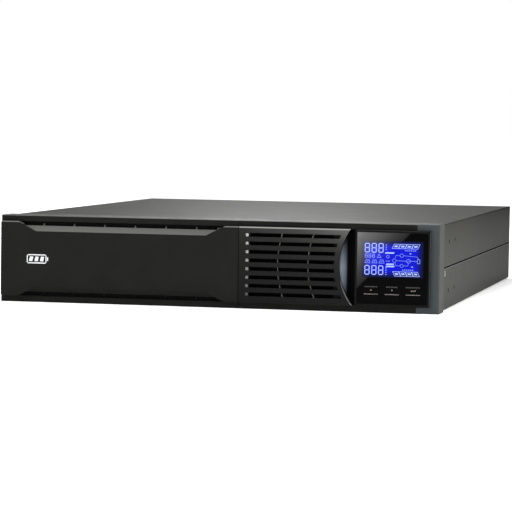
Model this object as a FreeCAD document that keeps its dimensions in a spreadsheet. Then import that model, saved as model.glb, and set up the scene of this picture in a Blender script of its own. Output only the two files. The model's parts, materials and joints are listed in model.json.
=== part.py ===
import FreeCAD, Part
import math
import os
import re
import Sketcher
from FreeCAD import Placement, Rotation, Vector

# A 2U rack and tower uninterruptible power supply, in millimetres.
# Origin: middle of the bottom.  +Z is up, the front faces -Y, +X is to the right seen from the front.

DIMENSIONS = {
    # whole unit
    "overall_width": 438,
    "overall_height": 86,
    "overall_depth": 600,
    "moving_gap": 0.3,
    # sheet metal case
    "sheet_gauge": 1.2,
    "case_width": 437,
    "case_lift": 1,
    "rear_projection": 6,
    "seam_level": 42.4,
    "seam_width": 1.3,
    "lip_height": 11,
    "bend_radius": 1.4,
    "case_screw_length": 2.5,
    "rear_screw_inset": 5.7,
    # rack ear holes in both sides
    "ear_hole_radius": 2.1,
    "ear_front_setback": 73.5,
    "ear_spacing_along": 42,
    "ear_spacing_up": 48,
    # air holes in the plate behind the grille
    "air_hole_radius": 3.4,
    "air_hole_pitch": 10,
    "air_hole_rows": 7,
    "air_hole_columns": 9,
    # plastic front
    "bezel_depth": 36,
    "plastic_wall": 2.2,
    "panel_rise": 5,
    "rail_height": 6,
    "panel_chamfer": 1.1,
    "corner_radius": 3,
    "cap_corner_radius": 1,
    "edge_break": 0.7,
    "door_width": 241.5,
    "door_seam": 0.6,
    "cap_width": 8.8,
    "cap_arm": 22,
    # vents along the top and bottom of the door
    "recess_left": 18,
    "recess_right": 228,
    "recess_taper": 19,
    "recess_height": 9.6,
    "recess_depth": 9,
    "vent_height": 4.2,
    "vent_margin": 7,
    "rib_pitch": 31,
    "rib_width": 1.2,
    "rib_count": 6,
    "door_post_radius": 4,
    "door_post_length": 24,
    "door_pin_radius": 2.2,
    "badge_left": 24.3,
    "badge_width": 28.4,
    "badge_height": 13.6,
    "badge_depth": 0.5,
    # vent grille
    "slot_count": 8,
    "slot_pitch": 8.25,
    "slot_height": 3.8,
    "slot_inset": 10.2,
    "arc_radius": 64,
    "arc_margin": 4.6,
    "arc_centre": 33.2,
    "arc_rise": 1.6,
    "inner_rib_reach": 94.4,
    "inner_rib_radius": 84,
    "outer_rib_reach": 124.3,
    "outer_rib_radius": 102.6,
    "grille_rib": 0.9,
    "stud_width": 3.2,
    "stud_height": 3.3,
    "stud_gap": 0.4,
    # finger scoop beside the display
    "scoop_radius": 14.3,
    "scoop_wall": 1.6,
    "scoop_width": 17.4,
    # display
    "display_inset": 45,
    "display_size": 73,
    "display_front": 0.6,
    "display_back": 4.7,
    "display_corner": 1.5,
    "display_rim": 2,
    "window_drop": 0.2,
    "window_thickness": 0.7,
    "screen_width": 59.6,
    "screen_height": 35,
    "screen_bottom": 34.5,
    "screen_depth": 2.4,
    "key_width": 15,
    "key_height": 7.2,
    "key_bottom": 11.4,
    "key_pitch": 20.4,
    "key_flange": 0.7,
    "key_chamfer": 0.7,
    "spigot_radius": 30.92,
    "spigot_clearance": 0.06,
    "spigot_wall": 2.4,
    "spigot_length": 9,
    # battery tray
    "bay_right": 232,
    "bay_strip_bottom": 72,
    "divider_back": 510,
    "divider_top": 80,
    "divider_foot": 10,
    "tray_gap": 2,
    "tray_length": 464,
    "tray_wall_height": 44,
    "tray_front_drop": 3.2,
    "tray_screw_level": 77.6,
    "handle_level": 44,
    "handle_height": 12,
    "handle_reach": 45,
    "battery_length": 151,
    "battery_width": 94,
    "battery_height": 65,
    "battery_corner_radius": 1.5,
    "battery_lid": 14,
    "battery_gap": 1,
    "tab_length": 6,
    "tab_width": 6.3,
    "tab_thickness": 0.8,
    # rear panel
    "fan_size": 80,
    "fan_depth": 25,
    "fan_opening": 38,
    "fan_pitch": 82,
    "fan_inset": 49,
    "blade_count": 7,
    "hub_radius": 16,
    "shaft_radius": 1.5,
    "shaft_clearance": 0.05,
    "fan_hole_offset": 35.75,
    "fan_hole_radius": 2.2,
    "spoke_width": 3,
    "blade_chord": 24,
    "blade_thickness": 1.6,
    "wire_radius": 0.7,
    "spoke_wire_radius": 0.8,
    "guard_plate_radius": 10,
    "guard_pitch": 7,
    "guard_spoke_length": 42,
    "inlet_inset": 37,
    "inlet_level": 24,
    "breaker_level": 48,
    "breaker_well_radius": 3.6,
    "socket_level": 69,
    "outlet_left": 78,
    "outlet_level": 28,
    "outlet_pitch_across": 33,
    "outlet_pitch_up": 31,
    "outlet_depth": 20,
    "outlet_width": 28.5,
    "outlet_height": 21,
    "outlet_groove": 2.75,
    "port_inset": 230,
    "contact_pitch": 2.76,
    "contact_radius": 0.55,
    # electronics bay
    "board_level": 10,
    "board_thickness": 1.6,
    "board_margin": 12,
    "board_clearance": 8,
    "board_reach": 200,
    "post_radius": 3,
    "sink_inset": 14,
    "sink_pitch": 90,
    "sink_plate": 6,
    "sink_reach": 40,
    "sink_start": -130,
    "sink_end": 110,
    "sink_top": 76,
    "fin_count": 9,
    "fin_pitch": 7.3,
    "fin_thickness": 2,
    "transistor_count": 5,
    "transistor_pitch": 44,
    "transistor_width": 16,
    "transistor_height": 21,
    "transistor_depth": 5,
    "lead_height": 5,
    "lead_pitch": 5.4,
    "lead_width": 1.2,
    "capacitor_count": 6,
    "capacitor_pitch": 34,
    "capacitor_radius": 15,
    "capacitor_height": 46,
    "choke_pitch": 58,
    "choke_radius": 17,
    "choke_thickness": 9,
    "control_board_top": 78,
    "filter_pitch": 28,
}

NODES = []
doc = FreeCAD.newDocument("uninterruptible_power_supply")
dims = doc.addObject("Spreadsheet::Sheet", "dims")
for row, (alias, value) in enumerate(DIMENSIONS.items(), 1):
    dims.set(f"A{row}", alias)
    dims.set(f"B{row}", str(value))
    dims.setAlias(f"B{row}", alias)
doc.recompute()


# Expressions and placing

def bound(text):
    """An expression with each dimension's alias pointed at the spreadsheet."""
    def with_sheet(word):
        return f"dims.{word[0]}" if word[0] in DIMENSIONS else word[0]
    return re.sub(r"[a-z][a-z_]+", with_sheet, str(text))


def amount(text):
    """The present value of an expression."""
    return float(dims.evalExpression(bound(text)))


def bind(thing, name, text):
    thing.setExpression(name, bound(text))


def move(thing, x, y, z):
    for letter, text in zip("xyz", (x, y, z)):
        bind(thing, f"Placement.Base.{letter}", text)
    return thing


def node(label, thing):
    """Name a finished sub-part and keep it for export."""
    thing.Label = label
    NODES.append(thing)
    return thing


# Primitives and booleans

AXIS_TURNS = {"x": Rotation(Vector(0, 1, 0), 90), "y": Rotation(Vector(1, 0, 0), -90), "z": Rotation()}


def block(xs, ys, zs):
    """A rectangular block from its low and high value along each axis."""
    solid = doc.addObject("Part::Box", "block")
    for name, (low, high) in zip(("Length", "Width", "Height"), (xs, ys, zs)):
        bind(solid, name, f"({high}) - ({low})")
    return move(solid, xs[0], ys[0], zs[0])


def rod(axis, start, radius, length):
    """A cylinder that runs from start along +x, +y or +z."""
    solid = doc.addObject("Part::Cylinder", "rod")
    bind(solid, "Radius", radius)
    bind(solid, "Height", length)
    solid.Placement = Placement(Vector(), AXIS_TURNS[axis])
    return move(solid, *start)


def ring(axis, start, outer, inner, length):
    return cut(rod(axis, start, outer, length), rod(axis, start, inner, length))


def torus(start, radius, thickness):
    """A wire ring about the y axis."""
    solid = doc.addObject("Part::Torus", "torus")
    bind(solid, "Radius1", radius)
    bind(solid, "Radius2", thickness)
    solid.Placement = Placement(Vector(), AXIS_TURNS["y"])
    return move(solid, *start)


def group(*things):
    """Several separate solids held as one object."""
    compound = doc.addObject("Part::Compound", "group")
    compound.Links = things
    return compound


def fuse(*things):
    joined = doc.addObject("Part::MultiFuse", "fuse")
    joined.Shapes = things
    joined.Refine = True
    return joined


def cut(base, *tools):
    result = doc.addObject("Part::Cut", "cut")
    result.Base = base
    result.Tool = tools[0] if len(tools) == 1 else group(*tools)
    result.Refine = True
    return result


def common(first, second):
    result = doc.addObject("Part::Common", "common")
    result.Base = first
    result.Tool = second
    return result


def copies(master, places, turn=Rotation()):
    """Links to one master shape at each place, held as one object."""
    links = []
    for place in places:
        link = doc.addObject("App::Link", "copy")
        link.LinkedObject = master
        link.LinkTransform = True
        link.Placement = Placement(Vector(), turn)
        links.append(move(link, *place))
    return group(*links)


# Sketches and PartDesign features

PLANES = {"XY": (1, "z"), "XZ": (-1, "y"), "YZ": (1, "x")}


def origin_plane(body, name):
    return next(part for part in body.Origin.OriginFeatures if part.Role == f"{name}_Plane")


def locate(sketch, geometry, point, x, y):
    """Pin a point of a sketch to a place worked out from the spreadsheet."""
    for kind, axis, text in (("DistanceX", -2, x), ("DistanceY", -1, y)):
        value = amount(text)
        if abs(value) < 1e-7:
            sketch.addConstraint(Sketcher.Constraint("PointOnObject", geometry, point, axis))
        else:
            index = sketch.addConstraint(Sketcher.Constraint(kind, -1, 1, geometry, point, value))
            bind(sketch, f"Constraints[{index}]", text)


def draw_outline(sketch, corners):
    base = sketch.GeometryCount
    count = len(corners)
    points = [Vector(amount(x), amount(y), 0) for x, y in corners]
    for index in range(count):
        sketch.addGeometry(Part.LineSegment(points[index], points[(index + 1) % count]))
    for index in range(count):
        joint = ("Coincident", base + index, 2, base + (index + 1) % count, 1)
        sketch.addConstraint(Sketcher.Constraint(*joint))
    for index, (x, y) in enumerate(corners):
        locate(sketch, base + index, 1, x, y)


def draw_circle(sketch, x, y, radius):
    circle = Part.Circle(Vector(amount(x), amount(y), 0), Vector(0, 0, 1), amount(radius))
    geometry = sketch.addGeometry(circle)
    locate(sketch, geometry, 3, x, y)
    index = sketch.addConstraint(Sketcher.Constraint("Radius", geometry, amount(radius)))
    bind(sketch, f"Constraints[{index}]", radius)


def rectangle(xs, ys):
    return [(xs[0], ys[0]), (xs[1], ys[0]), (xs[1], ys[1]), (xs[0], ys[1])]


def new_sketch(body, plane, level, outlines):
    """A sketch parallel to an origin plane, at a level along the third axis."""
    sketch = body.newObject("Sketcher::SketchObject", "sketch")
    sketch.AttachmentSupport = (origin_plane(body, plane), [""])
    sketch.MapMode = "FlatFace"
    bind(sketch, "AttachmentOffset.Base.z", f"{PLANES[plane][0]} * ({level})")
    for outline in outlines:
        if isinstance(outline, list):
            draw_outline(sketch, outline)
        else:
            draw_circle(sketch, *outline)
    return sketch


def pad(body, plane, low, high, *outlines):
    """Material between two levels along the axis across the plane."""
    feature = body.newObject("PartDesign::Pad", "pad")
    feature.Profile = new_sketch(body, plane, low, outlines)
    feature.Reversed = PLANES[plane][0] < 0
    bind(feature, "Length", f"({high}) - ({low})")
    return body


def pocket(body, plane, low, high, *outlines):
    """A recess between two levels along the axis across the plane."""
    doc.recompute()
    before = body.Shape.Volume
    feature = body.newObject("PartDesign::Pocket", "pocket")
    feature.Profile = new_sketch(body, plane, low, outlines)
    feature.Reversed = PLANES[plane][0] > 0
    feature.Type = "Length"
    bind(feature, "Length", f"({high}) - ({low})")
    doc.recompute()
    if body.Shape.Volume > before - 1e-3:
        raise RuntimeError(f"{body.Label}: a pocket cuts nothing")
    return body


def extrusion(plane, low, high, *outlines):
    return pad(doc.addObject("PartDesign::Body", "body"), plane, low, high, *outlines)


def dress(body, kind, size_name, size, chosen):
    """A fillet or chamfer on the edges of the body whose box passes a test."""
    doc.recompute()
    tip = body.Tip
    edges = [f"Edge{index}" for index, edge in enumerate(tip.Shape.Edges, 1) if chosen(edge.BoundBox)]
    feature = body.newObject(f"PartDesign::{kind}", kind.lower())
    feature.Base = (tip, edges)
    bind(feature, size_name, size)
    doc.recompute()
    return body


def fillet(body, radius, chosen):
    return dress(body, "Fillet", "Radius", radius, chosen)


def chamfer(body, size, chosen):
    return dress(body, "Chamfer", "Size", size, chosen)


# Places that several sub-parts share

LEFT = "(-overall_width / 2)"
RIGHT = "(overall_width / 2)"
FRONT = "(-overall_depth / 2)"
REAR = "(overall_depth / 2)"
TOP = "overall_height"
MIDDLE = "(overall_height / 2)"
RAIL_FACE = f"({FRONT} + panel_rise)"
RAIL_BACK = f"({RAIL_FACE} + plastic_wall)"
BEZEL_BACK = f"({FRONT} + bezel_depth)"
CASE_BACK = f"({REAR} - rear_projection)"
CASE_TOP = "(overall_height - case_lift)"
CASE_SIDE = "(case_width / 2)"
INNER_SIDE = "(case_width / 2 - sheet_gauge)"
JOGGLE = "(case_width / 2 - 2 * sheet_gauge - 0.2)"
SEAM_LOW = "(seam_level - seam_width / 2)"
FLOOR = "(case_lift + sheet_gauge)"
CEILING = "(overall_height - case_lift - sheet_gauge)"
PANEL_LOW = "rail_height"
PANEL_HIGH = "(overall_height - rail_height)"
DOOR_RIGHT = f"({LEFT} + door_width)"
DOOR_BACK = f"({BEZEL_BACK} - moving_gap)"
BEZEL_LEFT = f"({DOOR_RIGHT} + door_seam)"
CAP_LEFT = f"({RIGHT} - cap_width)"
DISPLAY_X = f"({RIGHT} - display_inset)"
BAY_RIGHT = f"({LEFT} + bay_right)"
EAR_FRONT = f"({FRONT} + ear_front_setback)"
EAR_LOW = f"({MIDDLE} - ear_spacing_up / 2)"

POST_PLACES = [(x, z) for x in (f"{LEFT} + 14", f"{DOOR_RIGHT} - 21") for z in ("14", "64")]
TRAY_SCREW_X = (f"{LEFT} + 26", f"{DOOR_RIGHT} - 33")
CROSS_WIDTH = "0.7"
CROSS_REACH = "1.6"


def is_front_top_edge(box):
    """Test for the edges where the rail's face meets the top."""
    return box.YMax < amount(RAIL_FACE) + 0.01 and box.ZMin > amount(TOP) - 0.01


def is_panel_edge(box):
    """Test for the long edges along the top and bottom of a raised panel."""
    level = box.YMax < amount(FRONT) + 0.01 and box.ZLength < 0.01
    return level and (box.ZMin > amount(PANEL_HIGH) - 0.01 or box.ZMax < amount(PANEL_LOW) + 0.01)


def is_long_corner(box):
    """Test for the case's outermost edges that run from front to back."""
    return abs(box.XMax) > amount(CASE_SIDE) - 0.01 and box.XLength < 0.01 and box.YLength > 100


def is_upright_at(x, y):
    """Test for an edge that stands upright at one place in plan."""
    def chosen(box):
        near = abs(box.XMin - x) < 0.01 and abs(box.YMin - y) < 0.01
        return near and box.XLength < 0.01 and box.YLength < 0.01
    return chosen


# Screws: one master of each size, linked wherever it is used

def pan_screw(head_radius, head_height, shank_radius, shank_length):
    """A cross-recessed screw whose head rests on z = 0 and points up."""
    head = rod("z", ("0", "0", "0"), head_radius, head_height)
    shank = rod("z", ("0", "0", f"-({shank_length})"), shank_radius, shank_length)
    depth = f"({head_height}) * 0.6"
    slots = []
    for reach_x, reach_y in ((CROSS_REACH, CROSS_WIDTH), (CROSS_WIDTH, CROSS_REACH)):
        slots.append(block((f"-{reach_x}", reach_x), (f"-{reach_y}", reach_y),
                           (f"{head_height} - {depth}", f"{head_height} + 1")))
    return cut(fuse(head, shank), *slots)


# Case

def ear_holes(level):
    """Threaded holes for the rack ears, right through both sides."""
    start = f"-{CASE_SIDE} - 1"
    ahead = rod("x", (start, EAR_FRONT, level), "ear_hole_radius", "case_width + 2")
    behind = rod("x", (start, f"{EAR_FRONT} + ear_spacing_along", level), "ear_hole_radius", "case_width + 2")
    return [ahead, behind]


BEZEL_SCREW = (f"{BEZEL_BACK} + 7.5", "37")
REAR_SCREWS = [(x, z) for x in (f"-{CASE_SIDE} + rear_screw_inset", "42.5", f"{CASE_SIDE} - rear_screw_inset")
               for z in ("8", "80")]
SCREW_SHANK = "1.5"
SCREW_HOLE = "1.6"


def chassis():
    """Lower half of the case; its sides step inwards and run up behind the cover."""
    lip = f"({INNER_SIDE} - 0.2)"
    right = [
        (CASE_SIDE, "case_lift"), (CASE_SIDE, SEAM_LOW), (lip, SEAM_LOW),
        (lip, f"{SEAM_LOW} + lip_height"), (JOGGLE, f"{SEAM_LOW} + lip_height"),
        (JOGGLE, f"{SEAM_LOW} - sheet_gauge"), (INNER_SIDE, f"{SEAM_LOW} - sheet_gauge"), (INNER_SIDE, FLOOR),
    ]
    left = [("-" + x, z) for x, z in reversed(right)]
    body = extrusion("XZ", BEZEL_BACK, CASE_BACK, right + left)
    fillet(body, "bend_radius", lambda box: is_long_corner(box) and box.ZMax < amount("case_lift") + 0.01)
    screw_ways = rod("x", (f"-{CASE_SIDE} - 1", *BEZEL_SCREW), SCREW_HOLE, "case_width + 2")
    return node("chassis", cut(body, *ear_holes(EAR_LOW), screw_ways))


def top_cover():
    low_edge = "(seam_level + seam_width / 2)"
    outline = [
        (f"-{CASE_SIDE}", low_edge), (f"-{CASE_SIDE}", CASE_TOP),
        (CASE_SIDE, CASE_TOP), (CASE_SIDE, low_edge),
        (INNER_SIDE, low_edge), (INNER_SIDE, CEILING),
        (f"-{INNER_SIDE}", CEILING), (f"-{INNER_SIDE}", low_edge),
    ]
    body = extrusion("XZ", BEZEL_BACK, CASE_BACK, outline)
    fillet(body, "bend_radius", lambda box: is_long_corner(box) and box.ZMin > amount(CASE_TOP) - 0.01)
    return node("top_cover", cut(body, *ear_holes(f"{EAR_LOW} + ear_spacing_up")))


def case_screws():
    master = pan_screw("3", "(overall_width - case_width) / 2", SCREW_SHANK, "case_screw_length")
    on_right = copies(master, [(CASE_SIDE, *BEZEL_SCREW)], AXIS_TURNS["x"])
    on_left = copies(master, [(f"-{CASE_SIDE}", *BEZEL_SCREW)], Rotation(Vector(0, 1, 0), -90))
    on_rear = copies(master, [(x, CASE_BACK, z) for x, z in REAR_SCREWS], Rotation(Vector(1, 0, 0), -90))
    return node("case_screws", group(on_right, on_left, on_rear))


def base_pads():
    places = [(x, y, "0") for x in ("-180", "180") for y in ("-230", "250")]
    master = rod("z", ("0", "0", "0"), "11", "case_lift")
    return node("base_pads", copies(master, places))


def front_plate():
    """Steel plate behind the plastic front; the tray passes below its strip on the left."""
    sheet = block((f"-{INNER_SIDE} + 1.5", f"{INNER_SIDE} - 1.5"),
                  (BEZEL_BACK, f"{BEZEL_BACK} + sheet_gauge"), (FLOOR, CEILING))
    bay = block((f"-{INNER_SIDE}", BAY_RIGHT), (f"{BEZEL_BACK} - 1", f"{BEZEL_BACK} + 2"),
                (FLOOR, "bay_strip_bottom"))
    cable_hole = rod("y", (DISPLAY_X, f"{BEZEL_BACK} - 1", MIDDLE), "14", "4")
    start = f"{BEZEL_BACK} - 1"
    tray_threads = [rod("y", (x, start, "tray_screw_level"), SCREW_HOLE, "4") for x in TRAY_SCREW_X]
    hole = rod("y", ("0", start, "0"), "air_hole_radius", "4")
    places = []
    for row in range(DIMENSIONS["air_hole_rows"]):
        for column in range(DIMENSIONS["air_hole_columns"]):
            x = f"{BEZEL_LEFT} + 14 + ({column} + {row % 2} / 2) * air_hole_pitch"
            places.append((x, "0", f"14 + {row} * air_hole_pitch"))
    return node("front_plate", cut(sheet, bay, cable_hole, *tray_threads, copies(hole, places)))


def bay_divider():
    run = (f"{BEZEL_BACK} + sheet_gauge", f"{FRONT} + divider_back")
    wall = block((BAY_RIGHT, f"{BAY_RIGHT} + sheet_gauge"), run, (FLOOR, "divider_top"))
    foot = block((f"{BAY_RIGHT} + sheet_gauge", f"{BAY_RIGHT} + divider_foot"), run,
                 (FLOOR, f"{FLOOR} + sheet_gauge"))
    return node("bay_divider", fuse(wall, foot))


# Plastic front

def vent_wedge(rail_edge, start, turn):
    """The tapered recess along one edge of the door: deep at the rail, nothing at its inner edge."""
    wedge = doc.addObject("Part::Wedge", "wedge")
    bind(wedge, "Xmin", "0")
    bind(wedge, "Xmax", "recess_right - recess_left")
    bind(wedge, "X2min", "recess_taper")
    bind(wedge, "X2max", "recess_right - recess_left - recess_taper")
    bind(wedge, "Ymin", "0")
    bind(wedge, "Ymax", "recess_height")
    bind(wedge, "Zmin", "0")
    bind(wedge, "Zmax", "recess_depth")
    bind(wedge, "Z2min", "0")
    bind(wedge, "Z2max", "0")
    wedge.Placement = Placement(Vector(), turn)
    return move(wedge, start, FRONT, rail_edge)


def battery_door():
    body = extrusion("XY", "0", TOP, rectangle((LEFT, DOOR_RIGHT), (RAIL_FACE, DOOR_BACK)))
    chamfer(body, "edge_break", is_front_top_edge)
    pad(body, "XY", PANEL_LOW, PANEL_HIGH, rectangle((LEFT, DOOR_RIGHT), (FRONT, RAIL_FACE)))
    left = amount(LEFT)
    fillet(body, "corner_radius", is_upright_at(left, amount(FRONT)))
    chamfer(body, "panel_chamfer", is_panel_edge)
    pocket(body, "XZ", RAIL_BACK, DOOR_BACK,
           rectangle((f"{LEFT} + plastic_wall", f"{DOOR_RIGHT} - plastic_wall"),
                     ("plastic_wall", f"{TOP} - plastic_wall")))
    badge = block(*badge_spans("0"))
    posts = [rod("y", (x, RAIL_BACK, z), "door_post_radius", "door_post_length") for x, z in POST_PLACES]
    pin_length = f"{BEZEL_BACK} + 1.5 - {RAIL_BACK}"
    pins = [rod("y", (x, RAIL_BACK, z), "door_pin_radius", pin_length) for x, z in POST_PLACES]
    downwards = Rotation(Vector(1, 0, 0), -90)
    upwards = Rotation(Vector(0, 1, 0), 180) * downwards
    wedges = (vent_wedge(PANEL_HIGH, f"{LEFT} + recess_left", downwards),
              vent_wedge(PANEL_LOW, f"{LEFT} + recess_right", upwards))
    recessed = cut(body, *wedges, badge, *vent_cells(True), *vent_cells(False))
    return node("battery_door", fuse(recessed, *posts, *pins))


def badge_spans(front_gap):
    left = f"{LEFT} + badge_left"
    return ((left, f"{left} + badge_width"), (f"{FRONT} + {front_gap}", f"{FRONT} + badge_depth + 0.6"),
            (f"{MIDDLE} - badge_height / 2", f"{MIDDLE} + badge_height / 2"))


def vent_cells(at_top):
    """The open cells between the ribs, right through the door's front wall."""
    low = f"({PANEL_HIGH} - vent_height)" if at_top else PANEL_LOW
    high = PANEL_HIGH if at_top else f"({PANEL_LOW} + vent_height)"
    centre = f"({LEFT} + (recess_left + recess_right) / 2 - 2)"
    reach = "((recess_right - recess_left) / 2 - vent_margin)"
    count = DIMENSIONS["rib_count"]
    ribs = [f"({centre} + ({index} - (rib_count - 1) / 2) * rib_pitch)" for index in range(count)]
    starts = [f"{centre} - {reach}"] + [f"{rib} + rib_width / 2" for rib in ribs]
    ends = [f"{rib} - rib_width / 2" for rib in ribs] + [f"{centre} + {reach}"]
    return [block(span, (f"{FRONT} + 1", f"{RAIL_BACK} + 1"), (low, high)) for span in zip(starts, ends)]


def badge_plate():
    return node("badge_plate", block(*badge_spans("badge_depth - 0.3")))


def front_bezel():
    cap_joint = f"({CAP_LEFT} - 0.2)"
    body = extrusion("XY", "0", TOP, rectangle((BEZEL_LEFT, cap_joint), (RAIL_FACE, BEZEL_BACK)))
    chamfer(body, "edge_break", is_front_top_edge)
    pocket(body, "XZ", RAIL_BACK, BEZEL_BACK,
           rectangle((f"{BEZEL_LEFT} + plastic_wall", f"{cap_joint} - plastic_wall"),
                     ("plastic_wall", f"{TOP} - plastic_wall")))
    air_way = (f"{BEZEL_LEFT} + 9", f"{DISPLAY_X} - display_size / 2 - scoop_width - 4")
    pocket(body, "XZ", RAIL_FACE, RAIL_BACK, rectangle(air_way, ("9.3", f"{TOP} - 9.3")))
    pocket(body, "XZ", RAIL_FACE, RAIL_BACK,
           rectangle(scoop_span(), (PANEL_LOW, PANEL_HIGH)))
    collar = rod("y", (DISPLAY_X, RAIL_FACE, MIDDLE), "spigot_radius + 2.6", "spigot_length")
    bore = rod("y", (DISPLAY_X, f"{RAIL_FACE} - 1", MIDDLE), "spigot_radius + spigot_clearance",
               "spigot_length + 2")
    arms = [block((f"{RIGHT} - cap_arm - 0.2", RIGHT), (f"{RAIL_FACE} - 1", f"{BEZEL_BACK} + 1"), span)
            for span in (("-1", f"{PANEL_LOW} + 0.2"), (f"{PANEL_HIGH} - 0.2", f"{TOP} + 1"))]
    return node("front_bezel", cut(fuse(body, collar), bore, *arms))


def end_cap():
    """Grey cap over the right end: its front face is a C with short arms above and below the display."""
    body = extrusion("XY", "0", TOP, rectangle((f"{RIGHT} - cap_arm", RIGHT), (RAIL_FACE, BEZEL_BACK)))
    fillet(body, "cap_corner_radius", is_upright_at(amount(RIGHT), amount(RAIL_FACE)))
    chamfer(body, "edge_break", is_front_top_edge)
    window = block((f"{RIGHT} - cap_arm - 1", CAP_LEFT), (f"{RAIL_FACE} - 1", f"{BEZEL_BACK} + 1"),
                   (PANEL_LOW, PANEL_HIGH))
    hollow = block((f"{RIGHT} - cap_arm - 1", f"{RIGHT} - plastic_wall"), (RAIL_BACK, f"{BEZEL_BACK} + 1"),
                   ("plastic_wall", f"{TOP} - plastic_wall"))
    return node("end_cap", cut(body, window, hollow))


ARC_X = f"({RIGHT} - arc_centre)"
ARC_Z = f"({MIDDLE} + arc_rise)"


def arc_disc(extra, low, high):
    """The round outline that shapes the grille's right edge and everything concentric with it."""
    return rod("y", (ARC_X, f"{FRONT} + {low}", ARC_Z), f"arc_radius + {extra}", f"{high} - ({low})")


def grille_ribs():
    """Two curved ribs across the slots, each with its own centre."""
    ribs = []
    for reach, radius in (("inner_rib_reach", "inner_rib_radius"), ("outer_rib_reach", "outer_rib_radius")):
        start = (f"{ARC_X} - {reach} + {radius}", f"{FRONT} + 0.9", ARC_Z)
        outer = f"{radius} + grille_rib / 2"
        ribs.append(ring("y", start, outer, f"{radius} - grille_rib / 2", "panel_rise"))
    return ribs


def slot_level(index):
    return f"({MIDDLE} + 0.3 + ({index} - (slot_count - 1) / 2) * slot_pitch)"


def stud_spans(index):
    right = f"({BEZEL_LEFT} + slot_inset - stud_gap)"
    level = slot_level(index)
    return ((f"{right} - stud_width", right), (FRONT, f"{FRONT} + 2"),
            (f"{level} - stud_height / 2", f"{level} + stud_height / 2"))


def vent_grille():
    body = extrusion("XZ", FRONT, RAIL_FACE,
                     rectangle((BEZEL_LEFT, f"{ARC_X} - 30"), (PANEL_LOW, PANEL_HIGH)))
    chamfer(body, "panel_chamfer", is_panel_edge)
    slots = []
    for index in range(DIMENSIONS["slot_count"]):
        level = slot_level(index)
        slots.append(block((f"{BEZEL_LEFT} + slot_inset", ARC_X), (f"{FRONT} - 1", f"{RAIL_FACE} + 1"),
                           (f"{level} - slot_height / 2", f"{level} + slot_height / 2")))
    open_slots = cut(group(*slots), arc_disc("arc_margin", "-2", "panel_rise + 2"), *grille_ribs())
    seats = [block(*stud_spans(index)) for index in range(DIMENSIONS["slot_count"])]
    shaped = cut(body, arc_disc("0", "-1", "panel_rise + 1"))
    return node("vent_grille", cut(shaped, open_slots, group(*seats)))


def vent_studs():
    """Light square studs at the left end of each slot, bevelled on the front."""
    front = amount(FRONT)
    studs = []
    for index in range(DIMENSIONS["slot_count"]):
        xs, ys, zs = stud_spans(index)
        body = extrusion("XZ", *ys, rectangle(xs, zs))
        studs.append(chamfer(body, "0.6", lambda box: box.YMax < front + 0.01))
    return node("vent_studs", group(*studs))


def scoop_span():
    edge = f"({DISPLAY_X} - display_size / 2)"
    return f"({edge} - scoop_width + 0.8)", f"({edge} + 0.8)"


def finger_scoop():
    """A cup beside the display, hollowed by an upright cylinder."""
    left, right = scoop_span()
    cup = block((left, right), (RAIL_FACE, f"{RAIL_FACE} + 10"), (PANEL_LOW, PANEL_HIGH))
    hollow = rod("z", (f"{right} - scoop_wall", f"{FRONT} - 1.3", f"{PANEL_LOW} + 1.2"), "scoop_radius",
                 f"{PANEL_HIGH} - {PANEL_LOW} - 2.4")
    keep = block((f"{left} - 1", f"{right} - scoop_wall"), (f"{FRONT} - 20", REAR), ("0", TOP))
    return node("finger_scoop", cut(cup, common(hollow, keep)))


# Display, which turns in the round bore of the bezel

DISPLAY_FACE = f"({FRONT} + display_front)"
DISPLAY_REAR = f"({FRONT} + display_back)"
WINDOW_FACE = f"({DISPLAY_FACE} + window_drop)"
WINDOW_REAR = f"({WINDOW_FACE} + window_thickness)"
SCREEN_SPAN = (f"({DISPLAY_X} - screen_width / 2)", f"({DISPLAY_X} + screen_width / 2)")
SCREEN_RISE = ("screen_bottom", "(screen_bottom + screen_height)")
KEY_FLOOR = f"({DISPLAY_REAR} - 0.8)"
KEY_NAMES = ("key_up", "key_down", "key_enter")


def key_spans(index, gap):
    centre = f"({DISPLAY_X} + ({index} - 1) * key_pitch)"
    return ((f"{centre} - key_width / 2 - {gap}", f"{centre} + key_width / 2 + {gap}"),
            (f"key_bottom - {gap}", f"key_bottom + key_height + {gap}"))


def square(half):
    return ((f"{DISPLAY_X} - {half}", f"{DISPLAY_X} + {half}"), (f"{MIDDLE} - {half}", f"{MIDDLE} + {half}"))


def display_frame():
    half = "(display_size / 2)"
    body = extrusion("XZ", DISPLAY_FACE, DISPLAY_REAR, rectangle(*square(half)))
    centre = amount(DISPLAY_X)
    reach = amount(half)
    front = amount(DISPLAY_FACE)
    fillet(body, "display_corner",
           lambda box: box.YLength > 3 and abs(abs(box.XMin - centre) - reach) < 0.01)
    chamfer(body, "0.4", lambda box: box.YMax < front + 0.01)
    pocket(body, "XZ", DISPLAY_FACE, WINDOW_REAR, rectangle(*square("(display_size / 2 - display_rim)")))
    pocket(body, "XZ", WINDOW_REAR, f"{WINDOW_FACE} + screen_depth", rectangle(SCREEN_SPAN, SCREEN_RISE))
    for index in range(len(KEY_NAMES)):
        pocket(body, "XZ", WINDOW_REAR, KEY_FLOOR, rectangle(*key_spans(index, "(key_flange + moving_gap)")))
    spigot = ring("y", (DISPLAY_X, DISPLAY_REAR, MIDDLE), "spigot_radius", "spigot_radius - spigot_wall",
                  f"{RAIL_FACE} + spigot_length + moving_gap - {DISPLAY_REAR}")
    return node("display_frame", fuse(body, spigot))


def display_window():
    pane = extrusion("XZ", WINDOW_FACE, WINDOW_REAR, rectangle(*square("(display_size / 2 - display_rim)")),
                     rectangle(SCREEN_SPAN, SCREEN_RISE),
                     *[rectangle(*key_spans(index, "moving_gap")) for index in range(len(KEY_NAMES))])
    return node("display_window", pane)


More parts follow.
